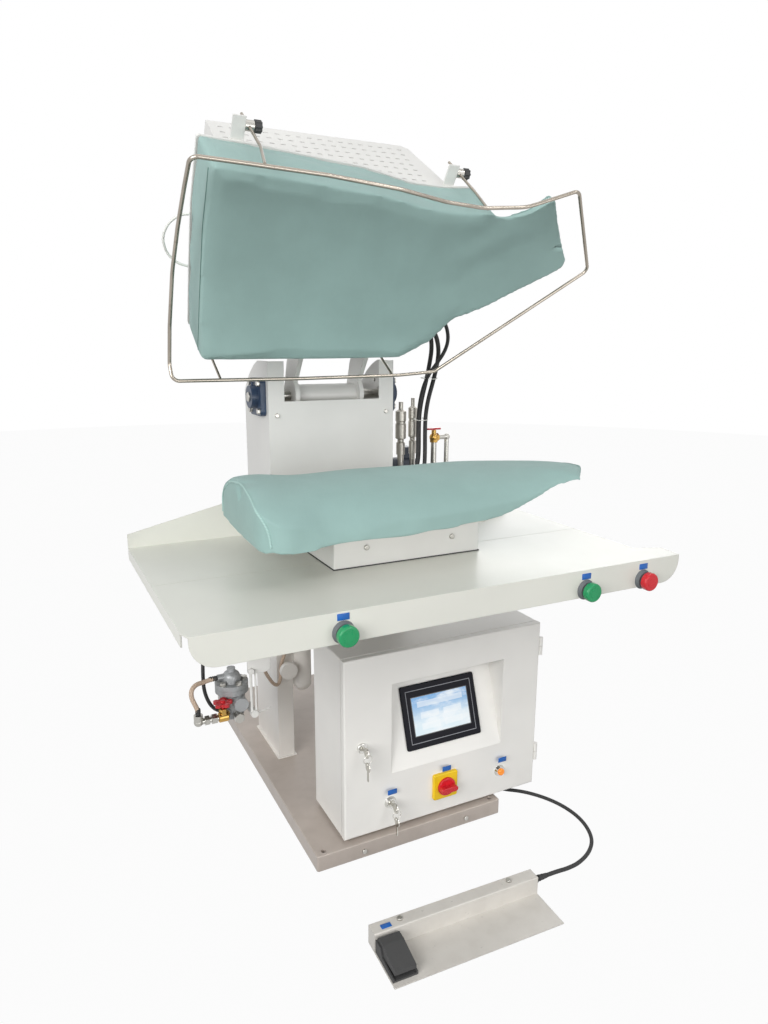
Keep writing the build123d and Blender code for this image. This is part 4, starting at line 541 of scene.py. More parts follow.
class Finish(Enum):
    """The press's finishes, each with its recipe and its slot in the record."""

    WHITE = (Enamel("white_enamel", tint("E4E3DF"), 0.38, grime=0.05), "white_paint")
    BASE = (Enamel("base_enamel", tint("BBB0A7"), 0.42, drift=0.04, grime=0.20), "white_paint")
    FRAME = (Enamel("frame_enamel", tint("EBE7E1"), 0.40, drift=0.04, grime=0.10), "white_paint")
    TABLE = (Enamel("table_enamel", tint("DBDBD2"), 0.34, drift=0.03, grime=0.05), "table_paint")
    CABINET = (Enamel("cabinet_powder_coat", tint("F2F0EB"), 0.45, peel=0.00007, grime=0.06), "cabinet_paint")
    PEDAL = (Enamel("pedal_enamel", tint("CFCBC4"), 0.42, grime=0.12, wear=0.25), "white_paint")
    RED_ENAMEL = (Enamel("red_enamel", tint("C2232B"), 0.30, grime=0.08, wear=0.5, edge=0.0008), "red_paint")
    BEARING = (Casting("blue_casting", tint("2F4058"), 0.38, 0.0003), "bearing_blue")
    TRAP = (Casting("grey_casting", tint("9B9D9E"), 0.42, 0.0005, 0.35), "trap_casting")
    MOTOR = (Casting("motor_enamel", tint("333B49"), 0.40, 0.0002), "motor_paint")
    STEEL = (Metal("zinc_steel", tint("B9B7B1"), 0.30), "bright_steel")
    ROD = (
        Metal("drawn_rod", tint("A79F94"), 0.22, (40.0, 40.0, 40.0), 0.00001, 0.35, tint("5E4A38")),
        "bright_steel",
    )
    CHROME = (Metal("bright_plating", tint("D6D5D1"), 0.10, stain=0.08), "chrome")
    ALUMINIUM = (Metal("cast_aluminium", tint("BDB9B1"), 0.40, (260.0, 260.0, 260.0), 0.0001), "aluminium")
    BRASS = (Metal("plain_brass", tint("C09A55"), 0.26, (200.0, 200.0, 200.0), 0.00004, 0.25), "brass")
    KEY = (Metal("nickel_key", tint("C9C7C0"), 0.18, stain=0.12), "key_steel")
    RUBBER = (Moulding("black_rubber", tint("1B1B1C"), 0.62, 0.0001, 700.0, 0.14), "black_rubber")
    BLACK = (Moulding("black_plastic", tint("0B0B0C"), 0.55, 0.00008, dust=0.02, gloss=0.10), "black_plastic")
    DARK = (Moulding("dark_plastic", tint("121316"), 0.50, 0.00006, dust=0.02, gloss=0.10), "dark_plastic")
    GREEN = (Moulding("green_cap", tint("17935A"), 0.28, 0.00002, dust=0.04, coat=0.4), "green_plastic")
    RED = (Moulding("red_cap", tint("D21F2B"), 0.28, 0.00002, dust=0.04, coat=0.4), "red_plastic")
    YELLOW = (Moulding("yellow_plate", tint("F0C81E"), 0.35, 0.00003, dust=0.05, coat=0.2), "yellow_plastic")
    LENS = (
        Moulding("amber_lens", tint("F08A1C"), 0.16, 0.00002, dust=0.02, coat=0.6, glow=0.35), "orange_lens",
    )
    LABEL = (Moulding("blue_film", tint("1F63B5"), 0.30, 0.00001, dust=0.03, coat=0.3), "dark_plastic")
    TIE = (Moulding("pale_tie", tint("E8E8E2"), 0.40, 0.00003, dust=0.05), "white_paint")
    # The head's and the buck's cloth are one teal cloth in two copies: the head's copy is painted lighter as
    # painted light, the buck's copy darker as painted shade from the head above it.
    HEAD_CLOTH = (
        PressCloth("head_press_cloth_lit", tint("A0BDB8"), (0.0, cos(HEAD_OPEN), -sin(HEAD_OPEN))), "teal_cloth",
    )
    BUCK_CLOTH = (PressCloth("buck_press_cloth_shaded", tint("98B6B1"), (0.0, 0.9, 0.5)), "teal_cloth")
    SEAM = (Stitch("seam_thread", tint("6F9089")), "teal_cloth")
    PIPING = (Stitch("piping_cord", tint("A9C9C3"), 2.0, 0.006), "teal_cloth")
    BLACK_HOSE = (
        Hose("black_hose", tint("1A1A1B"), tint("2A2A2C"), 6.0, 0.02, 0.0001, 0.5, 0.3), "black_rubber",
    )
    BEIGE_HOSE = (Hose("beige_braided_hose", tint("CDB8A4"), tint("A88E78")), "beige_hose")
    BEZEL = (Bezel("display_bezel", tint("101018"), SCREEN_CENTRE, (0.178, 0.116)), "dark_plastic")
    SCREEN = (
        Display(
            "lit_display", tint("3E9BDD"), SCREEN_CENTRE, (0.156, 0.0873),
            ((0.10, 0.90, 0.72, 0.86), (0.14, 0.46, 0.42, 0.58), (0.54, 0.86, 0.42, 0.58),
             (0.14, 0.46, 0.14, 0.30), (0.54, 0.86, 0.14, 0.30)),
        ),
        "screen",
    )

    def material(self) -> bpy.types.Material:
        """Return the finish's material, made at its first use."""
        recipe = self.value[0]
        return bpy.data.materials.get(recipe.name) or recipe.made()

    @property
    def slot(self) -> str:
        """The record's slot that the finish belongs to."""
        return self.value[1]


def coat(piece: bpy.types.Object, finish: Finish) -> None:
    """Give a piece one finish all over."""
    piece.data.materials.clear()
    piece.data.materials.append(finish.material())


def fasten(piece: bpy.types.Object, finish: Finish, body: str) -> bpy.types.Object:
    """Coat a piece, let it ride on a body and return it."""
    coat(piece, finish)
    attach(piece, body)
    log.info("%s", piece.name)
    return piece


# Surfaces


def link(name: str, data: bpy.types.ID) -> bpy.types.Object:
    """Put a mesh, a curve, a lamp or a camera in the scene as an object of that name."""
    piece = bpy.data.objects.new(name, data)
    bpy.context.scene.collection.objects.link(piece)
    return piece


def rows_of(elements: bpy.types.bpy_prop_collection, attribute: str) -> np.ndarray:
    """Read an attribute of a mesh's elements as rows of three."""
    values = np.zeros(len(elements) * 3)
    elements.foreach_get(attribute, values)
    return values.reshape(-1, 3)


def set_places(mesh: bpy.types.Mesh, places: np.ndarray) -> None:
    """Move a mesh's vertices to new places."""
    mesh.vertices.foreach_set("co", places.ravel())
    mesh.update()


def smooth_shaded(mesh: bpy.types.Mesh) -> None:
    """Shade all faces of a mesh smoothly."""
    mesh.polygons.foreach_set("use_smooth", np.ones(len(mesh.polygons), bool))
    mesh.update()


def unit(vector: np.ndarray | Triple) -> np.ndarray:
    """Return vectors, along the last axis, at length 1."""
    rows = np.asarray(vector, float)
    return rows / np.linalg.norm(rows, axis=-1, keepdims=True)


def circle(sides: int) -> np.ndarray:
    """Return that many angles once round, from 0, in radians."""
    return np.linspace(0, ROUND, sides, endpoint=False)


def path_lengths(points: np.ndarray) -> np.ndarray:
    """Return the distance of each point along a path, from its first."""
    return np.concatenate([[0.0], np.cumsum(np.linalg.norm(np.diff(points, axis=0), axis=1))])


def even_steps(points: list[Triple], spacing: float) -> np.ndarray:
    """Divide a path of straight runs into even steps of about a spacing."""
    rows = np.asarray(points, float)
    reach = path_lengths(rows)
    even = np.linspace(0, reach[-1], int(reach[-1] / spacing) + 2)
    return np.stack([np.interp(even, reach, rows[:, i]) for i in range(3)], axis=1)


def surface(name: str, rings: np.ndarray, lengths: np.ndarray | None = None) -> bpy.types.Object:
    """Make a smooth skin over closed rings of points, with a face across the first and the last.

    Args:
        name: the piece's name.
        rings: array of rings by points by three.
        lengths: distance of each ring along the path, for the piece's own map.

    Returns:
        The piece, with a map named "path": once round is 1, and along is in metres.
    """
    count, sides, _ = rings.shape
    ring, side = np.meshgrid(np.arange(count - 1), np.arange(sides), indexing="ij")
    after = (side + 1) % sides
    start, end = ring * sides, (ring + 1) * sides
    quads = np.stack([start + side, start + after, end + after, end + side], axis=-1).reshape(-1, 4)
    caps = [list(range(sides))[::-1], list(range((count - 1) * sides, count * sides))]
    mesh = bpy.data.meshes.new(name)
    mesh.from_pydata(rings.reshape(-1, 3).tolist(), [], quads.tolist() + caps)
    far = lengths if lengths is not None else np.linspace(0, 1, count)
    uv = np.zeros((len(mesh.loops), 2), np.float32)
    uv[:quads.size, 0] = np.stack([side, side + 1, side + 1, side], axis=-1).ravel() / sides
    uv[:quads.size, 1] = np.stack([far[ring], far[ring], far[ring + 1], far[ring + 1]], axis=-1).ravel()
    mesh.uv_layers.new(name="path").data.foreach_set("uv", uv.ravel())
    smooth_shaded(mesh)
    return link(name, mesh)


def tube(
    name: str, points: np.ndarray, radius: float, sides: int = 16, flat: float = 1.0
) -> bpy.types.Object:
    """Carry a round section along a path.

    Each ring lies across the path's direction there: centre + radius * (cos a * side + sin a * up),
    where side is square to the direction and to the way in which the path spreads least.

    Args:
        name: the piece's name.
        points: path, as rows of three.
        radius: the section's radius.
        sides: points in a ring.
        flat: the section's height as a share of its width.

    Returns:
        The piece.
    """
    points = np.asarray(points, float)
    ahead = unit(np.gradient(points, axis=0))
    spread = np.linalg.svd(points - points.mean(axis=0))[2][2]
    side = unit(np.cross(ahead, spread))[:, None, :]
    up = np.cross(side, ahead[:, None, :])
    angle = circle(sides)[None, :, None]
    rings = points[:, None, :] + radius * (np.cos(angle) * side - flat * np.sin(angle) * up)
    return surface(name, rings, path_lengths(points))


def turned(name: str, foot: np.ndarray, way: np.ndarray, profile: list[Pair]) -> bpy.types.Object:
    """Turn a profile round an axis that stands on a foot.

    A point is foot + distance * way + radius * (cos a * side + sin a * up), for each distance and
    radius of the profile and each angle a.

    Args:
        name: the piece's name.
        foot: where the axis starts.
        way: the axis's direction.
        profile: distance along the axis and radius there, in metres.

    Returns:
        The piece.
    """
    axis = unit(way)
    helper = np.array([0.0, 0.0, 1.0]) if abs(axis[2]) < 0.9 else np.array([1.0, 0.0, 0.0])
    side = unit(np.cross(helper, axis))
    up = np.cross(axis, side)
    rows = np.array(profile, float)
    angle = circle(28)[:, None]
    ring = np.cos(angle) * side + np.sin(angle) * up
    rings = foot + rows[:, 0, None, None] * axis + rows[:, 1, None, None] * ring[None]
    return surface(name, rings, path_lengths(rows))


def plate(name: str, centre: Triple, right: Triple, up: Triple, size: Pair) -> bpy.types.Object:
    """Make a thin plate with rounded corners and a softened rim.

    Its outline is a rectangle of half sizes less the corner, plus the corner's circle: for each
    angle the point is sign * (half - corner) + corner * (cos, sin). Rings carry that outline from
    the back, up the rim and in to the middle of the face.

    Args:
        name: the piece's name.
        centre: middle of the plate's back.
        right: direction of its width.
        up: direction of its height.
        size: width and height.

    Returns:
        The piece.
    """
    corner, thick, sides = 0.0015, 0.0004, 32
    right_way, up_way = unit(right), unit(up)
    angle = (np.arange(sides) + 0.5) * (ROUND / sides)
    turn = np.stack([np.cos(angle), np.sin(angle)], axis=1)
    core = np.sign(turn) * (np.array(size) / 2 - corner)
    steps = np.array([(1.0, 0.0), (1.0, 0.7), (0.97, 1.0), (0.6, 1.0), (0.2, 1.0)])
    outline = (core + corner * turn)[None] * steps[:, 0, None, None]
    face = outline[..., 0, None] * right_way + outline[..., 1, None] * up_way
    height = (steps[:, 1] * thick)[:, None, None] * np.cross(right_way, up_way)
    return surface(name, np.array(centre) + face + height)


def nurbs(name: str, points: np.ndarray, thickness: float = 0.0) -> bpy.types.Object:
    """Make a smooth spline of order 3 over control points, from the first to the last.

    Args:
        name: the curve's name.
        points: control points, as rows of three.
        thickness: radius of a round section, or 0 for none.

    Returns:
        The curve's object.
    """
    curve = bpy.data.curves.new(name, "CURVE")
    curve.dimensions = "3D"
    spline = curve.splines.new("NURBS")
    spline.points.add(len(points) - 1)
    spline.points.foreach_set("co", np.column_stack([points, np.ones(len(points))]).ravel())
    spline.order_u = 3
    spline.use_endpoint_u = True
    spline.resolution_u = 8
    curve.bevel_depth = thickness
    curve.bevel_resolution = 6
    curve.use_fill_caps = True
    return link(name, curve)


def spline_points(route: Route) -> np.ndarray:
    """Return the points, in metres, of the smooth spline over a route in millimetres."""
    bare = nurbs("route", np.array(route) * MM)
    bpy.context.view_layer.update()
    mesh = bpy.data.meshes.new_from_object(bare)
    points = rows_of(mesh.vertices, "co")
    curve = bare.data
    bpy.data.objects.remove(bare)
    bpy.data.curves.remove(curve)
    bpy.data.meshes.remove(mesh)
    return points


# Folds of the pads, in millimetres


@dataclass(frozen=True)
class Bell:
    """A smooth hump: e to the power of minus the square of (value - centre) / width."""

    centre: float
    width: float

    def at(self, values: np.ndarray) -> np.ndarray:
        """Return the hump's height, 1 at its centre, at each value."""
        return np.exp(-(((values - self.centre) / self.width) ** 2))


@dataclass(frozen=True)
class Ramp:
    """An even rise from 0 at its start to 1 at its end, level beyond both."""

    start: float
    end: float

    def at(self, values: np.ndarray) -> np.ndarray:
        """Return the ramp's height at each value."""
        return np.clip((values - self.start) / (self.end - self.start), 0.0, 1.0)


@dataclass(frozen=True)
class Drag:
    """Slanting folds: depth * sine of (y + slant * x) / pitch, fading away from their middle."""

    depth: float
    slant: float
    pitch: float

    def at(self, x: np.ndarray, y: np.ndarray) -> np.ndarray:
        """Return the folds' height at each point."""
        return self.depth * np.sin((y + self.slant * x) / self.pitch)


@dataclass(frozen=True)
class Ripple:
    """An uneven hem: depth * sine of (way / pitch + stray * sine of way / swing)."""

    depth: float
    pitch: float
    stray: float
    swing: float

    def at(self, way: np.ndarray) -> np.ndarray:
        """Return the hem's height along its way."""
        return self.depth * np.sin(way / self.pitch + self.stray * np.sin(way / self.swing))


@dataclass(frozen=True)
class Sag:
    """Shallow hollows: depth * sine of (x / pitch + shift) * the same of y."""

    depth: float
    x_pitch: float
    x_shift: float
    y_pitch: float
    y_shift: float

    def at(self, x: np.ndarray, y: np.ndarray) -> np.ndarray:
        """Return the hollows' height at each point."""
        return self.depth * np.sin(x / self.x_pitch + self.x_shift) * np.sin(y / self.y_pitch + self.y_shift)


@dataclass(frozen=True)
class Crease:
    """One crease: a bell across a slanting line times a bell along it."""

    depth: float
    middle: Pair
    slant: float
    width: float
    length: float

    def at(self, x: np.ndarray, y: np.ndarray) -> np.ndarray:
        """Return the crease's height at each point."""
        off = y - self.middle[1]
        return self.depth * Bell(0.0, self.width).at(x - self.middle[0] - self.slant * off) * Bell(
            0.0, self.length).at(off)


# Sub-assemblies


@dataclass(frozen=True)
class HeadSwing:
    """The head's turn about its hinge, from its closed place on the buck to its open rest."""

    axis_y: float = 90.0
    axis_z: float = 1020.0
    angle: float = HEAD_OPEN

    def _turned(self, rows: np.ndarray, angle: float) -> np.ndarray:
        """Turn places in millimetres about the hinge by an angle that opens."""
        dy = rows[:, 1] - self.axis_y
        dz = rows[:, 2] - self.axis_z
        c, s = cos(angle), sin(angle)
        return np.stack([rows[:, 0], self.axis_y + dy * c + dz * s, self.axis_z - dy * s + dz * c], axis=1)

    def opened(self, points: np.ndarray) -> np.ndarray:
        """Turn closed places in millimetres and return open places in metres."""
        return self._turned(np.asarray(points, float), self.angle) * MM

    def closed(self, points: np.ndarray) -> np.ndarray:
        """Turn open places in metres back and return closed places in millimetres."""
        return self._turned(points / MM, -self.angle)


@dataclass
class Pad:
    """A padded piece that swells from a copy of its CAD solid."""

    name: str
    node: str
    body: str
    finish: Finish
    smooth: int
    depth: int = 7
    merge: float = 0.00002
    inset: float = 0.003
    cap: float = 0.0035
    pressure: float = 4.0
    stiffness: float = 20.0
    frames: int = 20
    fill: float = 0.85
    piece: bpy.types.Object | None = field(default=None, init=False)

    def softness(self, places: np.ndarray) -> np.ndarray:
        """Return how far each point is smoothed, from 0 to 1."""
        return np.ones(len(places))

    def thickness(self, places: np.ndarray) -> np.ndarray:
        """Return the share of the inset and of the swelling that each point takes, from 0 to 1."""
        return np.ones(len(places))

    def shape(self, places: np.ndarray, normals: np.ndarray) -> np.ndarray:
        """Return the vertices moved by the pad's own folds."""
        return places

    def _start(self) -> bpy.types.Object:
        """Copy the CAD solid, merge it, remesh it evenly, soften it and draw it in a little."""
        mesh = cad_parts[self.node].data.copy()
        shell = bmesh.new()
        shell.from_mesh(mesh)
        bmesh.ops.remove_doubles(shell, verts=shell.verts, dist=self.merge)
        shell.to_mesh(mesh)
        shell.free()
        for layer in list(mesh.uv_layers):
            mesh.uv_layers.remove(layer)
        piece = link(self.name, mesh)
        remesh = piece.modifiers.new("even", "REMESH")
        remesh.mode = "SHARP"
        remesh.octree_depth = self.depth
        remesh.scale = 0.95
        remesh.use_remove_disconnected = False
        self._bake(piece)
        self._soften(piece.data)
        places, normals = self._skin(piece.data)
        set_places(piece.data, places - normals * (self.inset * self.thickness(places))[:, None])
        return piece

    def _bake(self, piece: bpy.types.Object) -> None:
        """Take the modifiers' result as the piece's own mesh and drop the modifiers."""
        graph = bpy.context.evaluated_depsgraph_get()
        mesh = bpy.data.meshes.new_from_object(piece.evaluated_get(graph))
        old = piece.data
        piece.modifiers.clear()
        piece.data = mesh
        bpy.data.meshes.remove(old)

    def _evaluate(self, piece: bpy.types.Object) -> np.ndarray:
        """Return the places of a piece's vertices with its modifiers at work."""
        made = piece.evaluated_get(bpy.context.evaluated_depsgraph_get())
        places = rows_of(made.to_mesh().vertices, "co")
        made.to_mesh_clear()
        return places

    def _skin(self, mesh: bpy.types.Mesh) -> tuple[np.ndarray, np.ndarray]:
        """Return the places and normals of a mesh's own vertices."""
        return rows_of(mesh.vertices, "co"), rows_of(mesh.vertex_normals, "vector")

    def _soften(self, mesh: bpy.types.Mesh) -> None:
        """Round the edges: in each round a point moves towards the mean of its neighbours."""
        count = len(mesh.vertices)
        ends = np.zeros(len(mesh.edges) * 2, np.int32)
        mesh.edges.foreach_get("vertices", ends)
        first, second = ends.reshape(-1, 2).T
        degree = np.bincount(np.concatenate([first, second]), minlength=count)[:, None]
        places = rows_of(mesh.vertices, "co")
        share = 0.5 * self.softness(places)[:, None]
        for _ in range(self.smooth):
            total = np.stack([
                np.bincount(first, places[second, i], count) + np.bincount(second, places[first, i], count)
                for i in range(3)
            ], axis=1)
            places = places + share * (total / np.maximum(degree, 1) - places)
        set_places(mesh, places)

    def _swell(self, piece: bpy.types.Object) -> None:
        """Blow the pad up as cloth under pressure and hold each point within the cap of its start."""
        start = self._evaluate(piece)
        cloth = piece.modifiers.new("cloth", "CLOTH")
        cloth.settings.use_pressure = True
        cloth.settings.uniform_pressure_force = self.pressure
        cloth.settings.quality = 4
        cloth.settings.effector_weights.gravity = 0.0
        cloth.settings.tension_stiffness = cloth.settings.compression_stiffness = self.stiffness
        cloth.settings.bending_stiffness = 1.0
        cloth.collision_settings.use_collision = False
        cloth.point_cache.frame_start = 1
        cloth.point_cache.frame_end = self.frames
        scene = bpy.context.scene
        for step in range(1, self.frames + 1):
            scene.frame_set(step)
        move = self._evaluate(piece) - start
        size = np.linalg.norm(move, axis=1, keepdims=True)
        limit = self.cap * self.thickness(start)[:, None]
        piece.modifiers.clear()
        scene.frame_set(1)
        set_places(piece.data, start + move * np.minimum(1.0, limit / np.maximum(size, 1e-9)))

    def make(self) -> None:
        """Build the pad."""
        piece = self._start()
        self._swell(piece)
        mesh = piece.data
        set_places(mesh, self.shape(*self._skin(mesh)))
        smooth_shaded(mesh)
        finer = piece.modifiers.new("finer", "SUBSURF")
        finer.levels = finer.render_levels = 1
        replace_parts(piece, self.node)
        self.piece = fasten(piece, self.finish, self.body)

    def sewn(self, name: str, path: np.ndarray, radius: float, finish: Finish, lift: float = 0.0) -> None:
        """Lay a sewn cord on the pad along a path, riding with the pad.

        Args:
            name: the cord's name.
            path: points near the pad's skin, in metres.
            radius: the cord's radius.
            finish: the cord's finish.
            lift: how far its middle stands off the skin.
        """
        line = bpy.data.meshes.new(name + "_line")
        edges = np.stack([np.arange(len(path) - 1), np.arange(1, len(path))], axis=1)
        line.from_pydata(np.asarray(path).tolist(), edges.tolist(), [])
        guide = link(name + "_guide", line)
        wrap = guide.modifiers.new("wrap", "SHRINKWRAP")
        wrap.target = self.piece
        wrap.wrap_method = "NEAREST_SURFACEPOINT"
        wrap.wrap_mode = "ABOVE_SURFACE"
        wrap.offset = lift
        ease = guide.modifiers.new("ease", "SMOOTH")
        ease.factor = 0.5
        ease.iterations = 2
        bpy.context.view_layer.update()
        points = self._evaluate(guide)
        bpy.data.objects.remove(guide)
        bpy.data.meshes.remove(line)
        fasten(tube(name, points, radius, 10), finish, self.body)


@dataclass
class HeadPad(Pad):
    """The head's pad: a deep box with a hollow face, a lit front strip and a thin nose.

    Its places and folds are those of the closed head, in millimetres.
    """

    swing: HeadSwing = HeadSwing()
    drag: Drag = Drag(1.6, 0.6, 17.0)
    root: tuple[Bell, Bell] = (Bell(235.0, 85.0), Bell(-470.0, 120.0))
    hem: Ripple = Ripple(1.5, 19.0, 0.8, 47.0)
    hem_height: Bell = Bell(994.0, 9.0)
    hem_right: float = -370.0
    sag: Sag = Sag(0.8, 61.0, 0.0, 83.0, 1.0)
    creases: tuple[Crease, ...] = (
        Crease(-0.9, (20.0, -350.0), 0.10, 5.0, 70.0), Crease(-0.5, (-156.0, -300.0), -0.20, 8.0, 60.0),
    )
    face_top: float = 930.0
    face_rim: Bell = Bell(866.0, 26.0)
    rim_share: Pair = (0.35, 0.65)
    body_share: Ramp = Ramp(290.0, 230.0)
    least_thick: float = 0.3
    nose_right: Ramp = Ramp(250.0, 450.0)
    nose_back: Ramp = Ramp(-560.0, -400.0)
    nose_pull: Pair = (9.0, 7.0)
    tip_left: float = 440.0
    tip_foot: float = 874.0
    tip_middle: float = -476.0
    tip_half: Pair = (84.0, 14.0)
    seam_height: float = 899.0
    seam_gap: float = 3.0
    wall: tuple[Pair, ...] = ((-399, -140), (-406, -290), (-414, -425), (-414, -545))
    nose_seam: Route = ((262, -516, 896), (302, -530, 896), (343, -568, 896))

    def shape(self, places: np.ndarray, normals: np.ndarray) -> np.ndarray:
        """Add drag folds and draw out the nose.

        Long shallow waves start at the nose's root and die out over the body, the rear hem of the
        left wall puckers, and two faint creases cross the face. The stuffed nose stands out a
        little to the right and to the back, by a pull that grows from nothing at its root to full
        at its end, whose underside keeps to half an ellipse: foot + height * root of (1 - the
        squared share of the way to its edge).

        Args:
            places: the vertices, in open places in metres.
            normals: their normals.

        Returns:
            The moved vertices.
        """
        x, y, z = self.swing.closed(places).T
        folds = self.drag.at(x, y) * self.root[0].at(x) * self.root[1].at(y)
        folds += self.hem.at(y) * self.hem_height.at(z) * (x < self.hem_right)
        folds += sum(crease.at(x, y) for crease in self.creases) * (z < self.face_top) + self.sag.at(x, y)
        moved = self.swing.closed(places + normals * (folds * MM)[:, None])
        half_width, height = self.tip_half
        share = (y - self.tip_middle) / half_width
        tip = self.tip_foot + height * np.sqrt(np.clip(1 - share ** 2, 0.0, 1.0))
        moved[:, 2] = np.where(x > self.tip_left, np.maximum(moved[:, 2], tip), moved[:, 2])
        reach = self.nose_right.at(x) ** 1.3
        moved[:, 0] += self.nose_pull[0] * reach
        moved[:, 1] += self.nose_pull[1] * reach * self.nose_back.at(y)
        return self.swing.opened(moved)

    def softness(self, places: np.ndarray) -> np.ndarray:
        """Smooth most round the face's rim, less at the back and not at all on the thin nose."""
        x, _, z = self.swing.closed(places).T
        least, more = self.rim_share
        return (least + more * self.face_rim.at(z)) * self.body_share.at(x)

    def thickness(self, places: np.ndarray) -> np.ndarray:
        """Draw in and swell the thin nose less than the body."""
        return np.maximum(self.body_share.at(self.swing.closed(places)[:, 0]), self.least_thick)

    def seams(self) -> None:
        """Sew the double seam along the left wall and the one along the nose's front."""
        for number, height in enumerate((self.seam_height, self.seam_height + self.seam_gap), 1):
            path = even_steps([(x, y, height) for x, y in self.wall], 4.0)
            self.sewn(f"head_wall_seam_{number}", self.swing.opened(path), 0.0008, Finish.SEAM, 0.0001)
        nose = self.swing.opened(even_steps(self.nose_seam, 4.0))
        self.sewn("head_nose_seam", nose, 0.0007, Finish.SEAM)


@dataclass
class BuckPad(Pad):
    """The buck's pad: a long low dome with a piped flat end and a nose, in millimetres."""

    left: float = -374.0
    centre_y: float = -360.0
    half_depth: float = 185.0
    hem: float = 785.0
    crown: float = 888.0
    ripple: Ripple = Ripple(1.2, 21.0, 1.3, 53.0)
    ripple_height: Bell = Bell(791.0, 12.0)
    drag: Drag = Drag(0.9, 0.5, 13.0)
    drag_middle: Bell = Bell(300.0, 70.0)
    sag: Sag = Sag(0.5, 47.0, 0.6, 39.0, 0.0)
    rim: Ramp = Ramp(150.0, 180.0)
    left_rim: Ramp = Ramp(-335.0, -360.0)
    heel: Ramp = Ramp(-300.0, -370.0)
    heel_push: float = 7.0
    toe: Ramp = Ramp(330.0, 440.0)
    toe_push: float = 6.0
    hanging: Ramp = Ramp(120.0, -80.0)
    hem_height: Bell = Bell(785.0, 20.0)
    hem_drop: float = 11.0
    nose_middle: Triple = (402.0, -452.0, 874.0)
    nose_half: Pair = (62.0, 7.0)

    def shape(self, places: np.ndarray, normals: np.ndarray) -> np.ndarray:
        """Add a wavy hem, faint drag folds near the nose and the stuffing's fullness.

        The left end and the nose stand out along X by a push that grows towards them, and the
        rim's hem hangs by a bell of its height.

        Args:
            places: the vertices, in metres.
            normals: their normals.

        Returns:
            The moved vertices.
        """
        x, y, z = (places / MM).T
        folds = self.ripple.at(x) * self.ripple_height.at(z) + self.drag.at(x, y) * self.drag_middle.at(x)
        moved = places + normals * ((folds + self.sag.at(x, y)) * MM)[:, None]
        rim = np.maximum(self.rim.at(np.abs(y - self.centre_y)), self.left_rim.at(x))
        moved[:, 0] += (self.toe_push * self.toe.at(x) - self.heel_push * self.heel.at(x)) * MM
        moved[:, 2] -= self.hem_drop * rim * self.hanging.at(x) * self.hem_height.at(z) * MM
        return moved

    def seams(self) -> None:
        """Pipe the rim of the flat left end and sew the nose's edge."""
        angle = np.linspace(0.04, pi - 0.04, 90)
        rim = np.stack([
            np.full_like(angle, self.left),
            self.centre_y - (self.half_depth - 2) * np.cos(angle),
            self.hem + (self.crown - self.hem - 2) * np.sin(angle),
        ], axis=1)
        self.sewn("buck_rim_piping", rim * MM, 0.0022, Finish.PIPING, 0.0006)
        ring = np.linspace(0, ROUND, 80)
        x, y, z = self.nose_middle
        wide, high = self.nose_half
        nose = np.stack([x + 0 * ring, y + wide * np.cos(ring), z + high * np.sin(ring)], axis=1)
        self.sewn("buck_nose_seam", nose * MM, 0.0008, Finish.SEAM, 0.0001)


@dataclass
class PedalLine:
    """The pedal's cable, from the cabinet's gland across the floor into the pedal box."""

    diameter: float = 0.009
    route: Route = (
        (282, -345, 38), (282, -345, 27), (287, -350, 14), (299, -360, 6.7), (317, -374, 4.7), (339, -390, 4.7),
        (363, -414, 4.7), (388, -452, 4.7), (405, -497, 4.7), (410, -546, 4.7), (401, -592, 4.7),
        (379, -634, 4.7), (341, -664, 4.7), (294, -683, 7), (252, -692, 14), (222, -696, 21),
        (186.863, -698.853, 25), (164.876, -698.085, 25),
    )
    length: float = 0.58
    sleeve: tuple[Pair, ...] = (
        (0.0, 0.0066), (0.004, 0.0068), (0.006, 0.0060), (0.012, 0.0062), (0.014, 0.0056),
        (0.022, 0.0052), (0.0225, 0.0048),
    )

    def make(self) -> None:
        """Lay the cable and slip a tapered sleeve over it at the pedal."""
        route = np.array(self.route) * MM
        back = route[-2] - route[-1]
        cable = nurbs("pedal_line", route, self.diameter / 2)
        sleeve = turned("pedal_line_sleeve", route[-1] + back * 0.02, back, self.sleeve)
        for piece in (cable, sleeve):
            fasten(piece, Finish.RUBBER, "press")
        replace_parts(cable, "pedal_cable")


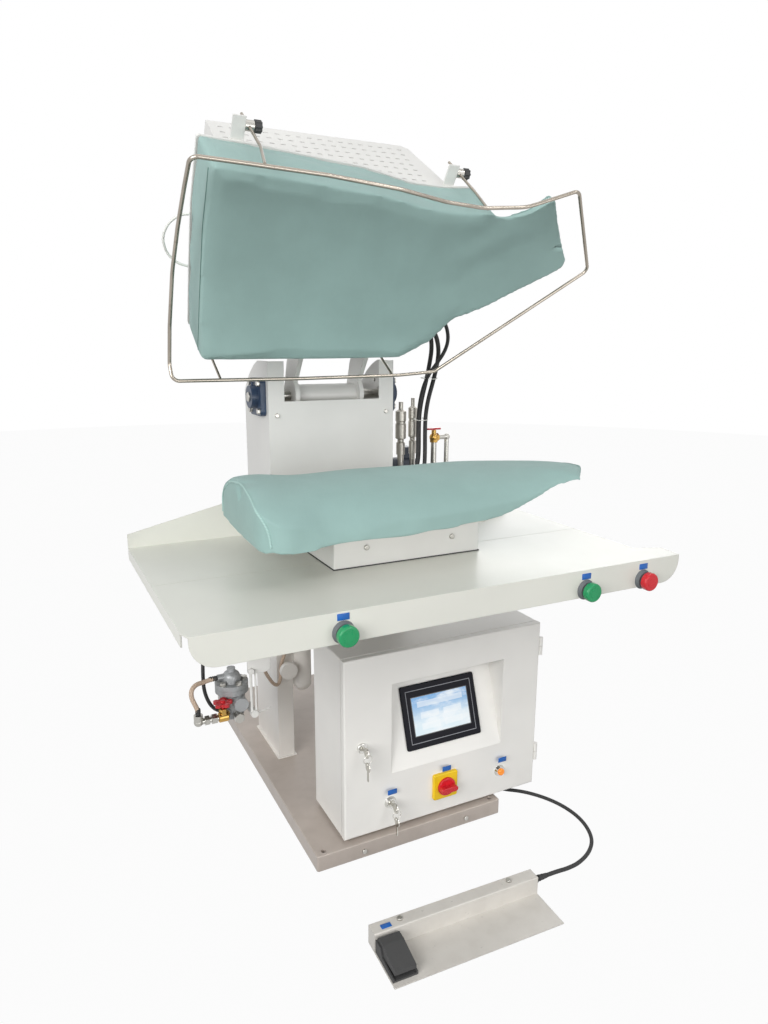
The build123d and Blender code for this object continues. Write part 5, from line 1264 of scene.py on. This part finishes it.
@dataclass
class HoseLoom:
    """Three black hoses from the head down to the column, held by two ties."""

    radii: tuple[float, ...] = (0.006, 0.006, 0.005)
    routes: tuple[Route, ...] = (
        ((176, -66, 1247), (188, -66, 1246), (208, -64, 1238), (230, -61, 1218), (262, -56, 1176),
         (292, -20, 1140), (306, 10, 1100), (306, 32, 1050), (300, 48, 1000), (298, 58, 950),
         (299, 60, 900), (300, 60, 850), (298, 58, 806), (284, 56, 772), (252, 55, 752),
         (218, 55, 744), (177, 55, 744)),
        ((174, -53, 1260), (186, -53, 1259), (206, -54, 1250), (226, -54, 1222), (250, -47, 1180),
         (276, -10, 1142), (288, 22, 1100), (290, 44, 1050), (286, 60, 1000), (285, 71, 950),
         (286, 73, 900), (287, 73, 850), (283, 72, 812), (268, 70, 784), (240, 69, 772),
         (210, 68, 768), (177, 68, 768)),
        ((177, -81, 1267), (190, -81, 1266), (220, -79, 1258), (252, -73, 1240), (280, -64, 1214),
         (298, -54, 1188), (306, -44, 1160), (302, -32, 1132), (291, -17, 1106), (280, 1, 1080),
         (273, 20, 1052), (271, 40, 1008), (272, 54, 955), (274, 58, 900),
         (275, 58, 850), (271, 56, 806), (257, 50, 776), (232, 44, 761), (204, 42, 757), (177, 42, 757)),
    )
    tie_heights: tuple[float, ...] = (1.062, 0.945)
    tie_slack: float = 0.0075
    tie_top: float = 1.15
    joint_top: Triple = (0.200, -0.065, 1.250)
    joint_bottom: Triple = (0.290, 0.060, 0.950)

    def make(self) -> None:
        """Build the hoses and their ties."""
        lines = [spline_points(route) for route in self.routes]
        hoses = [
            tube(f"head_hose_{i}", line, radius) for i, (line, radius) in enumerate(zip(lines, self.radii), 1)
        ]
        ties = [self.tie(f"hose_tie_{i}", height, lines) for i, height in enumerate(self.tie_heights, 1)]
        for pieces, finish in ((hoses, Finish.BLACK_HOSE), (ties, Finish.TIE)):
            for piece in pieces:
                coat(piece, finish)
                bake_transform(piece)
                log.info("%s", piece.name)
        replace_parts(hoses[0], "head_hoses")

    def tie(self, name: str, height: float, lines: list[np.ndarray]) -> bpy.types.Object:
        """Pull a tie round the hoses at a height.

        The band is an ellipse about the hoses' mean place there, wide enough for the farthest.

        Args:
            name: the tie's name.
            height: where it sits.
            lines: the hoses' middle lines.

        Returns:
            The tie.
        """
        picks = np.array([
            line[np.argmin(np.abs(line[:, 2] - height) + 10 * (line[:, 2] > self.tie_top))] for line in lines
        ])
        middle = picks.mean(axis=0)
        wide, deep = np.abs(picks - middle).max(axis=0)[:2] + self.tie_slack
        angle = np.linspace(0, ROUND, 37)
        loop = np.stack([wide * np.cos(angle), deep * np.sin(angle), 0.002 * np.sin(angle)], axis=1)
        return tube(name, middle + loop, 0.0021, 8, 0.45)


@dataclass
class TrapPlumbing:
    """Beige braided hose and black drain hose at the steam trap, and the hose behind the column."""

    beige_radius: float = 0.0055
    black_radius: float = 0.0045
    beige_route: Route = (
        (-438, -183, 308), (-438, -183, 320), (-444, -181, 336), (-450, -177, 352), (-448, -169, 367),
        (-434, -158, 374), (-414, -147, 370), (-394, -140, 371), (-379, -140, 371),
    )
    drain_route: Route = (
        (-398, -104, 697), (-398, -104, 660), (-399, -106, 590), (-401, -108, 510), (-403, -110, 440),
        (-406, -111, 390), (-407, -112, 360), (-406, -112, 333), (-400, -112, 308), (-391, -113, 288),
        (-379, -115, 275), (-366, -118, 270),
    )
    long_route: Route = (
        (-281, -44, 697), (-280, -45, 645), (-276, -46, 590), (-273, -48, 535), (-270, -48, 478),
        (-262, -48, 420), (-249, -47, 366), (-232, -45, 318), (-215, -42, 285), (-203, -39, 270),
        (-192, -35, 268), (-185, -32, 282), (-184, -28, 306), (-177, -27, 333), (-164, -27, 360),
        (-157, -28, 402), (-155, -29, 450), (-157, -30, 502), (-159, -30, 556), (-158, -28, 612),
        (-158, -28, 637),
    )

    def hose(self, name: str, route: Route, radius: float, finish: Finish, node: str) -> None:
        """Build one hose along its route, in the place of a node."""
        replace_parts(fasten(tube(name, spline_points(route), radius, 18), finish, "press"), node)

    def sleeve(self, name: str, foot: Triple, toward: Triple, length: float) -> None:
        """Slip a crimped black sleeve over the beige hose's end.

        Args:
            name: the sleeve's name.
            foot: the hose's end.
            toward: the next point of its route.
            length: the sleeve's length in metres.
        """
        start, end = np.array(foot) * MM, np.array(toward) * MM
        steps = np.linspace(0, 1, 15)
        ribs = self.beige_radius + 0.0006 + 0.0005 * np.cos(steps * ROUND * 4)
        ribs[0] = ribs[-1] = self.beige_radius + 0.0002
        fasten(turned(name, start, end - start, list(zip(steps * length, ribs))), Finish.RUBBER, "press")

    def make(self) -> None:
        """Build the hoses and their sleeves."""
        beige, black = Finish.BEIGE_HOSE, Finish.BLACK_HOSE
        self.hose("trap_hose_beige", self.beige_route, self.beige_radius, beige, "trap_hose")
        self.hose("trap_hose_drain", self.drain_route, self.black_radius, black, "trap_hose")
        self.hose("column_hose_beige", self.long_route, self.black_radius, beige, "v_hose")
        self.sleeve("trap_sleeve_low", self.beige_route[0], self.beige_route[1], 0.016)
        self.sleeve("trap_sleeve_high", self.beige_route[-1], self.beige_route[-2], 0.020)


@dataclass
class Labels:
    """Bare blue labels beside the controls: each one's back, and the body that it rides on."""

    size: Pair = (0.024, 0.013)
    front: tuple[tuple[Triple, str], ...] = (
        ((-0.057, -0.4373, 0.146), "door"), ((0.089, -0.4373, 0.166), "door"),
        ((0.251, -0.4373, 0.146), "door"), ((-0.274, -0.6623, 0.690), "press"),
        ((0.278, -0.6623, 0.686), "press"), ((0.438, -0.6623, 0.686), "press"),
    )
    box_place: Triple = (-0.200, -0.688, 0.0421)
    box_size: Pair = (0.022, 0.012)
    box_turn: float = 0.035

    def make(self) -> None:
        """Stick the labels on."""
        for number, (place, body) in enumerate(self.front, 1):
            fasten(plate(f"label_{number}", place, (1, 0, 0), (0, 0, 1), self.size), Finish.LABEL, body)
        right, up = (1, -self.box_turn, 0), (self.box_turn, 1, 0)
        fasten(plate("label_7", self.box_place, right, up, self.box_size), Finish.LABEL, "press")


@dataclass
class Metalwork:
    """The CAD nodes that keep their shape, listed by their finish."""

    nodes: dict[Finish, str] = field(default_factory=lambda: {
        Finish.BASE: "base_tray",
        Finish.FRAME: "frame",
        Finish.TABLE: "table_top table_backsplash",
        Finish.WHITE: "pedestal column_sides column_front_cover column_rear_cover head_plate head_hood"
                      " lever_arms trap_hanger",
        Finish.RUBBER: "pedestal_gasket cabinet_spacers",
        Finish.ALUMINIUM: "buck_chest piston_valves",
        Finish.BEARING: "bearing_housings",
        Finish.STEEL: "head_shaft guard_clamps hex_bolts pan_screws trap_fittings service_pipes",
        Finish.TIE: "head_side_tube",
        Finish.ROD: "guard_bar",
        Finish.BLACK: "knob_left knob_right foot_switch foot_treadle cable_glands",
        Finish.CABINET: "cabinet_body cabinet_door",
        Finish.BEZEL: "screen_housing",
        Finish.SCREEN: "screen_glass",
        Finish.CHROME: "lock_body bezel_rings",
        Finish.KEY: "lock_key switch_key",
        Finish.LENS: "pilot_lens",
        Finish.YELLOW: "isolator_plate",
        Finish.RED: "isolator_knob red_button",
        Finish.DARK: "button_housings",
        Finish.GREEN: "green_button_left green_button_right",
        Finish.PEDAL: "pedal_box pedal_plate",
        Finish.TRAP: "trap_body trap_cover",
        Finish.BRASS: "trap_valve ball_valve",
        Finish.RED_ENAMEL: "trap_handwheel ball_valve_handle",
        Finish.MOTOR: "vacuum_motor",
    })

    def dress(self) -> None:
        """Finish each node."""
        for finish, names in self.nodes.items():
            for name in names.split():
                coat(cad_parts[name], finish)
                log.info("%s: %s", name, finish.name)


@dataclass(frozen=True)
class Lamp:
    """A soft rectangular lamp that faces a target."""

    name: str
    place: Triple
    target: Triple
    size: Pair
    power: float

    def hang(self) -> None:
        """Put the lamp in the scene, unseen by the camera."""
        light = bpy.data.lights.new(self.name, "AREA")
        light.shape = "RECTANGLE"
        light.size, light.size_y = self.size
        light.energy = self.power
        lamp = link(self.name, light)
        lamp.location = self.place
        lamp.visible_camera = False
        lamp.rotation_euler = (Vector(self.target) - Vector(self.place)).to_track_quat("-Z", "Y").to_euler()


@dataclass
class Studio:
    """Pale floor, soft lights, white surroundings and the camera."""

    camera_place: Triple = (-0.7642, -1.7945, 1.1637)
    yaw: float = radians(26.69)
    pitch: float = radians(13.01)
    roll: float = radians(0.235)
    lens: float = 26.15
    sensor: float = 36.0
    ambient: float = 0.41
    sky: Colour = (0.97, 0.985, 1.0, 1.0)
    white: Colour = (1.0, 1.0, 1.0, 1.0)
    floor_reach: float = 9.0
    floor_drop: float = 0.0006
    floor_share: float = 0.97
    lamps: tuple[Lamp, ...] = (
        Lamp("ceiling", (-0.3, -0.7, 3.6), (0.0, -0.3, 0.8), (2.6, 2.6), 11.0),
        Lamp("front_left", (-3.0, -2.4, 2.0), (0.0, -0.3, 0.8), (2.6, 2.2), 112.0),
        Lamp("front_low", (0.5, -3.4, 0.7), (0.0, -0.3, 0.7), (2.6, 1.4), 31.0),
        Lamp("high_right", (1.5, -2.3, 3.1), (0.0, -0.4, 1.2), (0.5, 0.5), 10.0),
        Lamp("back_right", (2.6, 2.6, 2.0), (0.0, 0.0, 0.8), (2.4, 2.0), 30.0),
    )

    def seen(self, bench: Bench, *kinds: str) -> Signal:
        """Return 1 where a ray is from the camera or of the other kinds named."""
        rays = bench.add("LightPath").outputs
        seen = Signal(bench, rays["Is Camera Ray"])
        for kind in kinds:
            seen = seen.most(Signal(bench, rays[kind]))
        return seen

    def floor(self) -> None:
        """Lay a round floor: rings of growing radius about the part, all just under height 0."""
        radii = np.linspace(0.02, 1.0, 24)[:, None] ** 1.5 * self.floor_reach
        angle = circle(64)[None, :]
        height = 0 * radii * angle - self.floor_drop
        rings = np.stack([radii * np.cos(angle), radii * np.sin(angle), height], axis=-1)
        piece = surface("studio_floor", rings)
        material = bpy.data.materials.new("studio_floor")
        bench = Bench(material)
        cloud = bench.noise(bench.place(), 2.0, 3.0)
        colour = bench.blend(cloud, tint("EFEFEE"), tint("F3F3F3"))
        plain = bench.add("BsdfDiffuse", None, {"Color": colour, "Roughness": 0.9})
        white = bench.add("Emission", None, {"Color": self.white, "Strength": 1.0})
        bench.whitened(self.seen(bench, "Is Glossy Ray") * self.floor_share, plain, white, "OutputMaterial")
        piece.data.materials.append(material)

    def surroundings(self) -> None:
        """Make the world white to the camera and soft grey as a light."""
        world = bpy.data.worlds.new("studio")
        bpy.context.scene.world = world
        bench = Bench(world)
        white = bench.add("Background", None, {"Color": self.white, "Strength": 1.0})
        soft = bench.add("Background", None, {"Color": self.sky, "Strength": self.ambient})
        bench.whitened(self.seen(bench, "Is Glossy Ray", "Is Transmission Ray"), soft, white, "OutputWorld")

    def camera(self) -> None:
        """Set the camera at the photograph's place and angle."""
        across = Vector((cos(self.yaw), -sin(self.yaw), 0.0))
        ahead = Vector((sin(self.yaw) * cos(self.pitch), cos(self.yaw) * cos(self.pitch), -sin(self.pitch)))
        upward = across.cross(ahead)
        right = across * cos(self.roll) + upward * sin(self.roll)
        up = upward * cos(self.roll) - across * sin(self.roll)
        data = bpy.data.cameras.new("photo_camera")
        data.lens = self.lens
        data.sensor_width = self.sensor
        data.sensor_fit = "AUTO"
        data.clip_end = 60.0
        camera = link("photo_camera", data)
        turn = Matrix((right, up, -ahead)).transposed().to_4x4()
        camera.matrix_world = Matrix.Translation(self.camera_place) @ turn
        bpy.context.scene.camera = camera

    def make(self) -> None:
        """Build the studio."""
        self.camera()
        self.floor()
        self.surroundings()
        for lamp in self.lamps:
            lamp.hang()
        bpy.context.scene.view_settings.view_transform = "Standard"
        log.info("studio")


def main() -> None:
    """Build and dress the press, piece by piece."""
    logging.basicConfig(level=logging.INFO, format="%(message)s")
    Studio().make()
    PedalLine().make()
    HoseLoom().make()
    TrapPlumbing().make()
    Metalwork().dress()
    for pad in (
        HeadPad("head_cushion", "head_pad", "head", Finish.HEAD_CLOTH, smooth=12),
        BuckPad("buck_cushion", "buck_pad", "press", Finish.BUCK_CLOTH, smooth=2),
    ):
        pad.make()
        pad.seams()
    Labels().make()


if __name__ == "__main__":
    main()
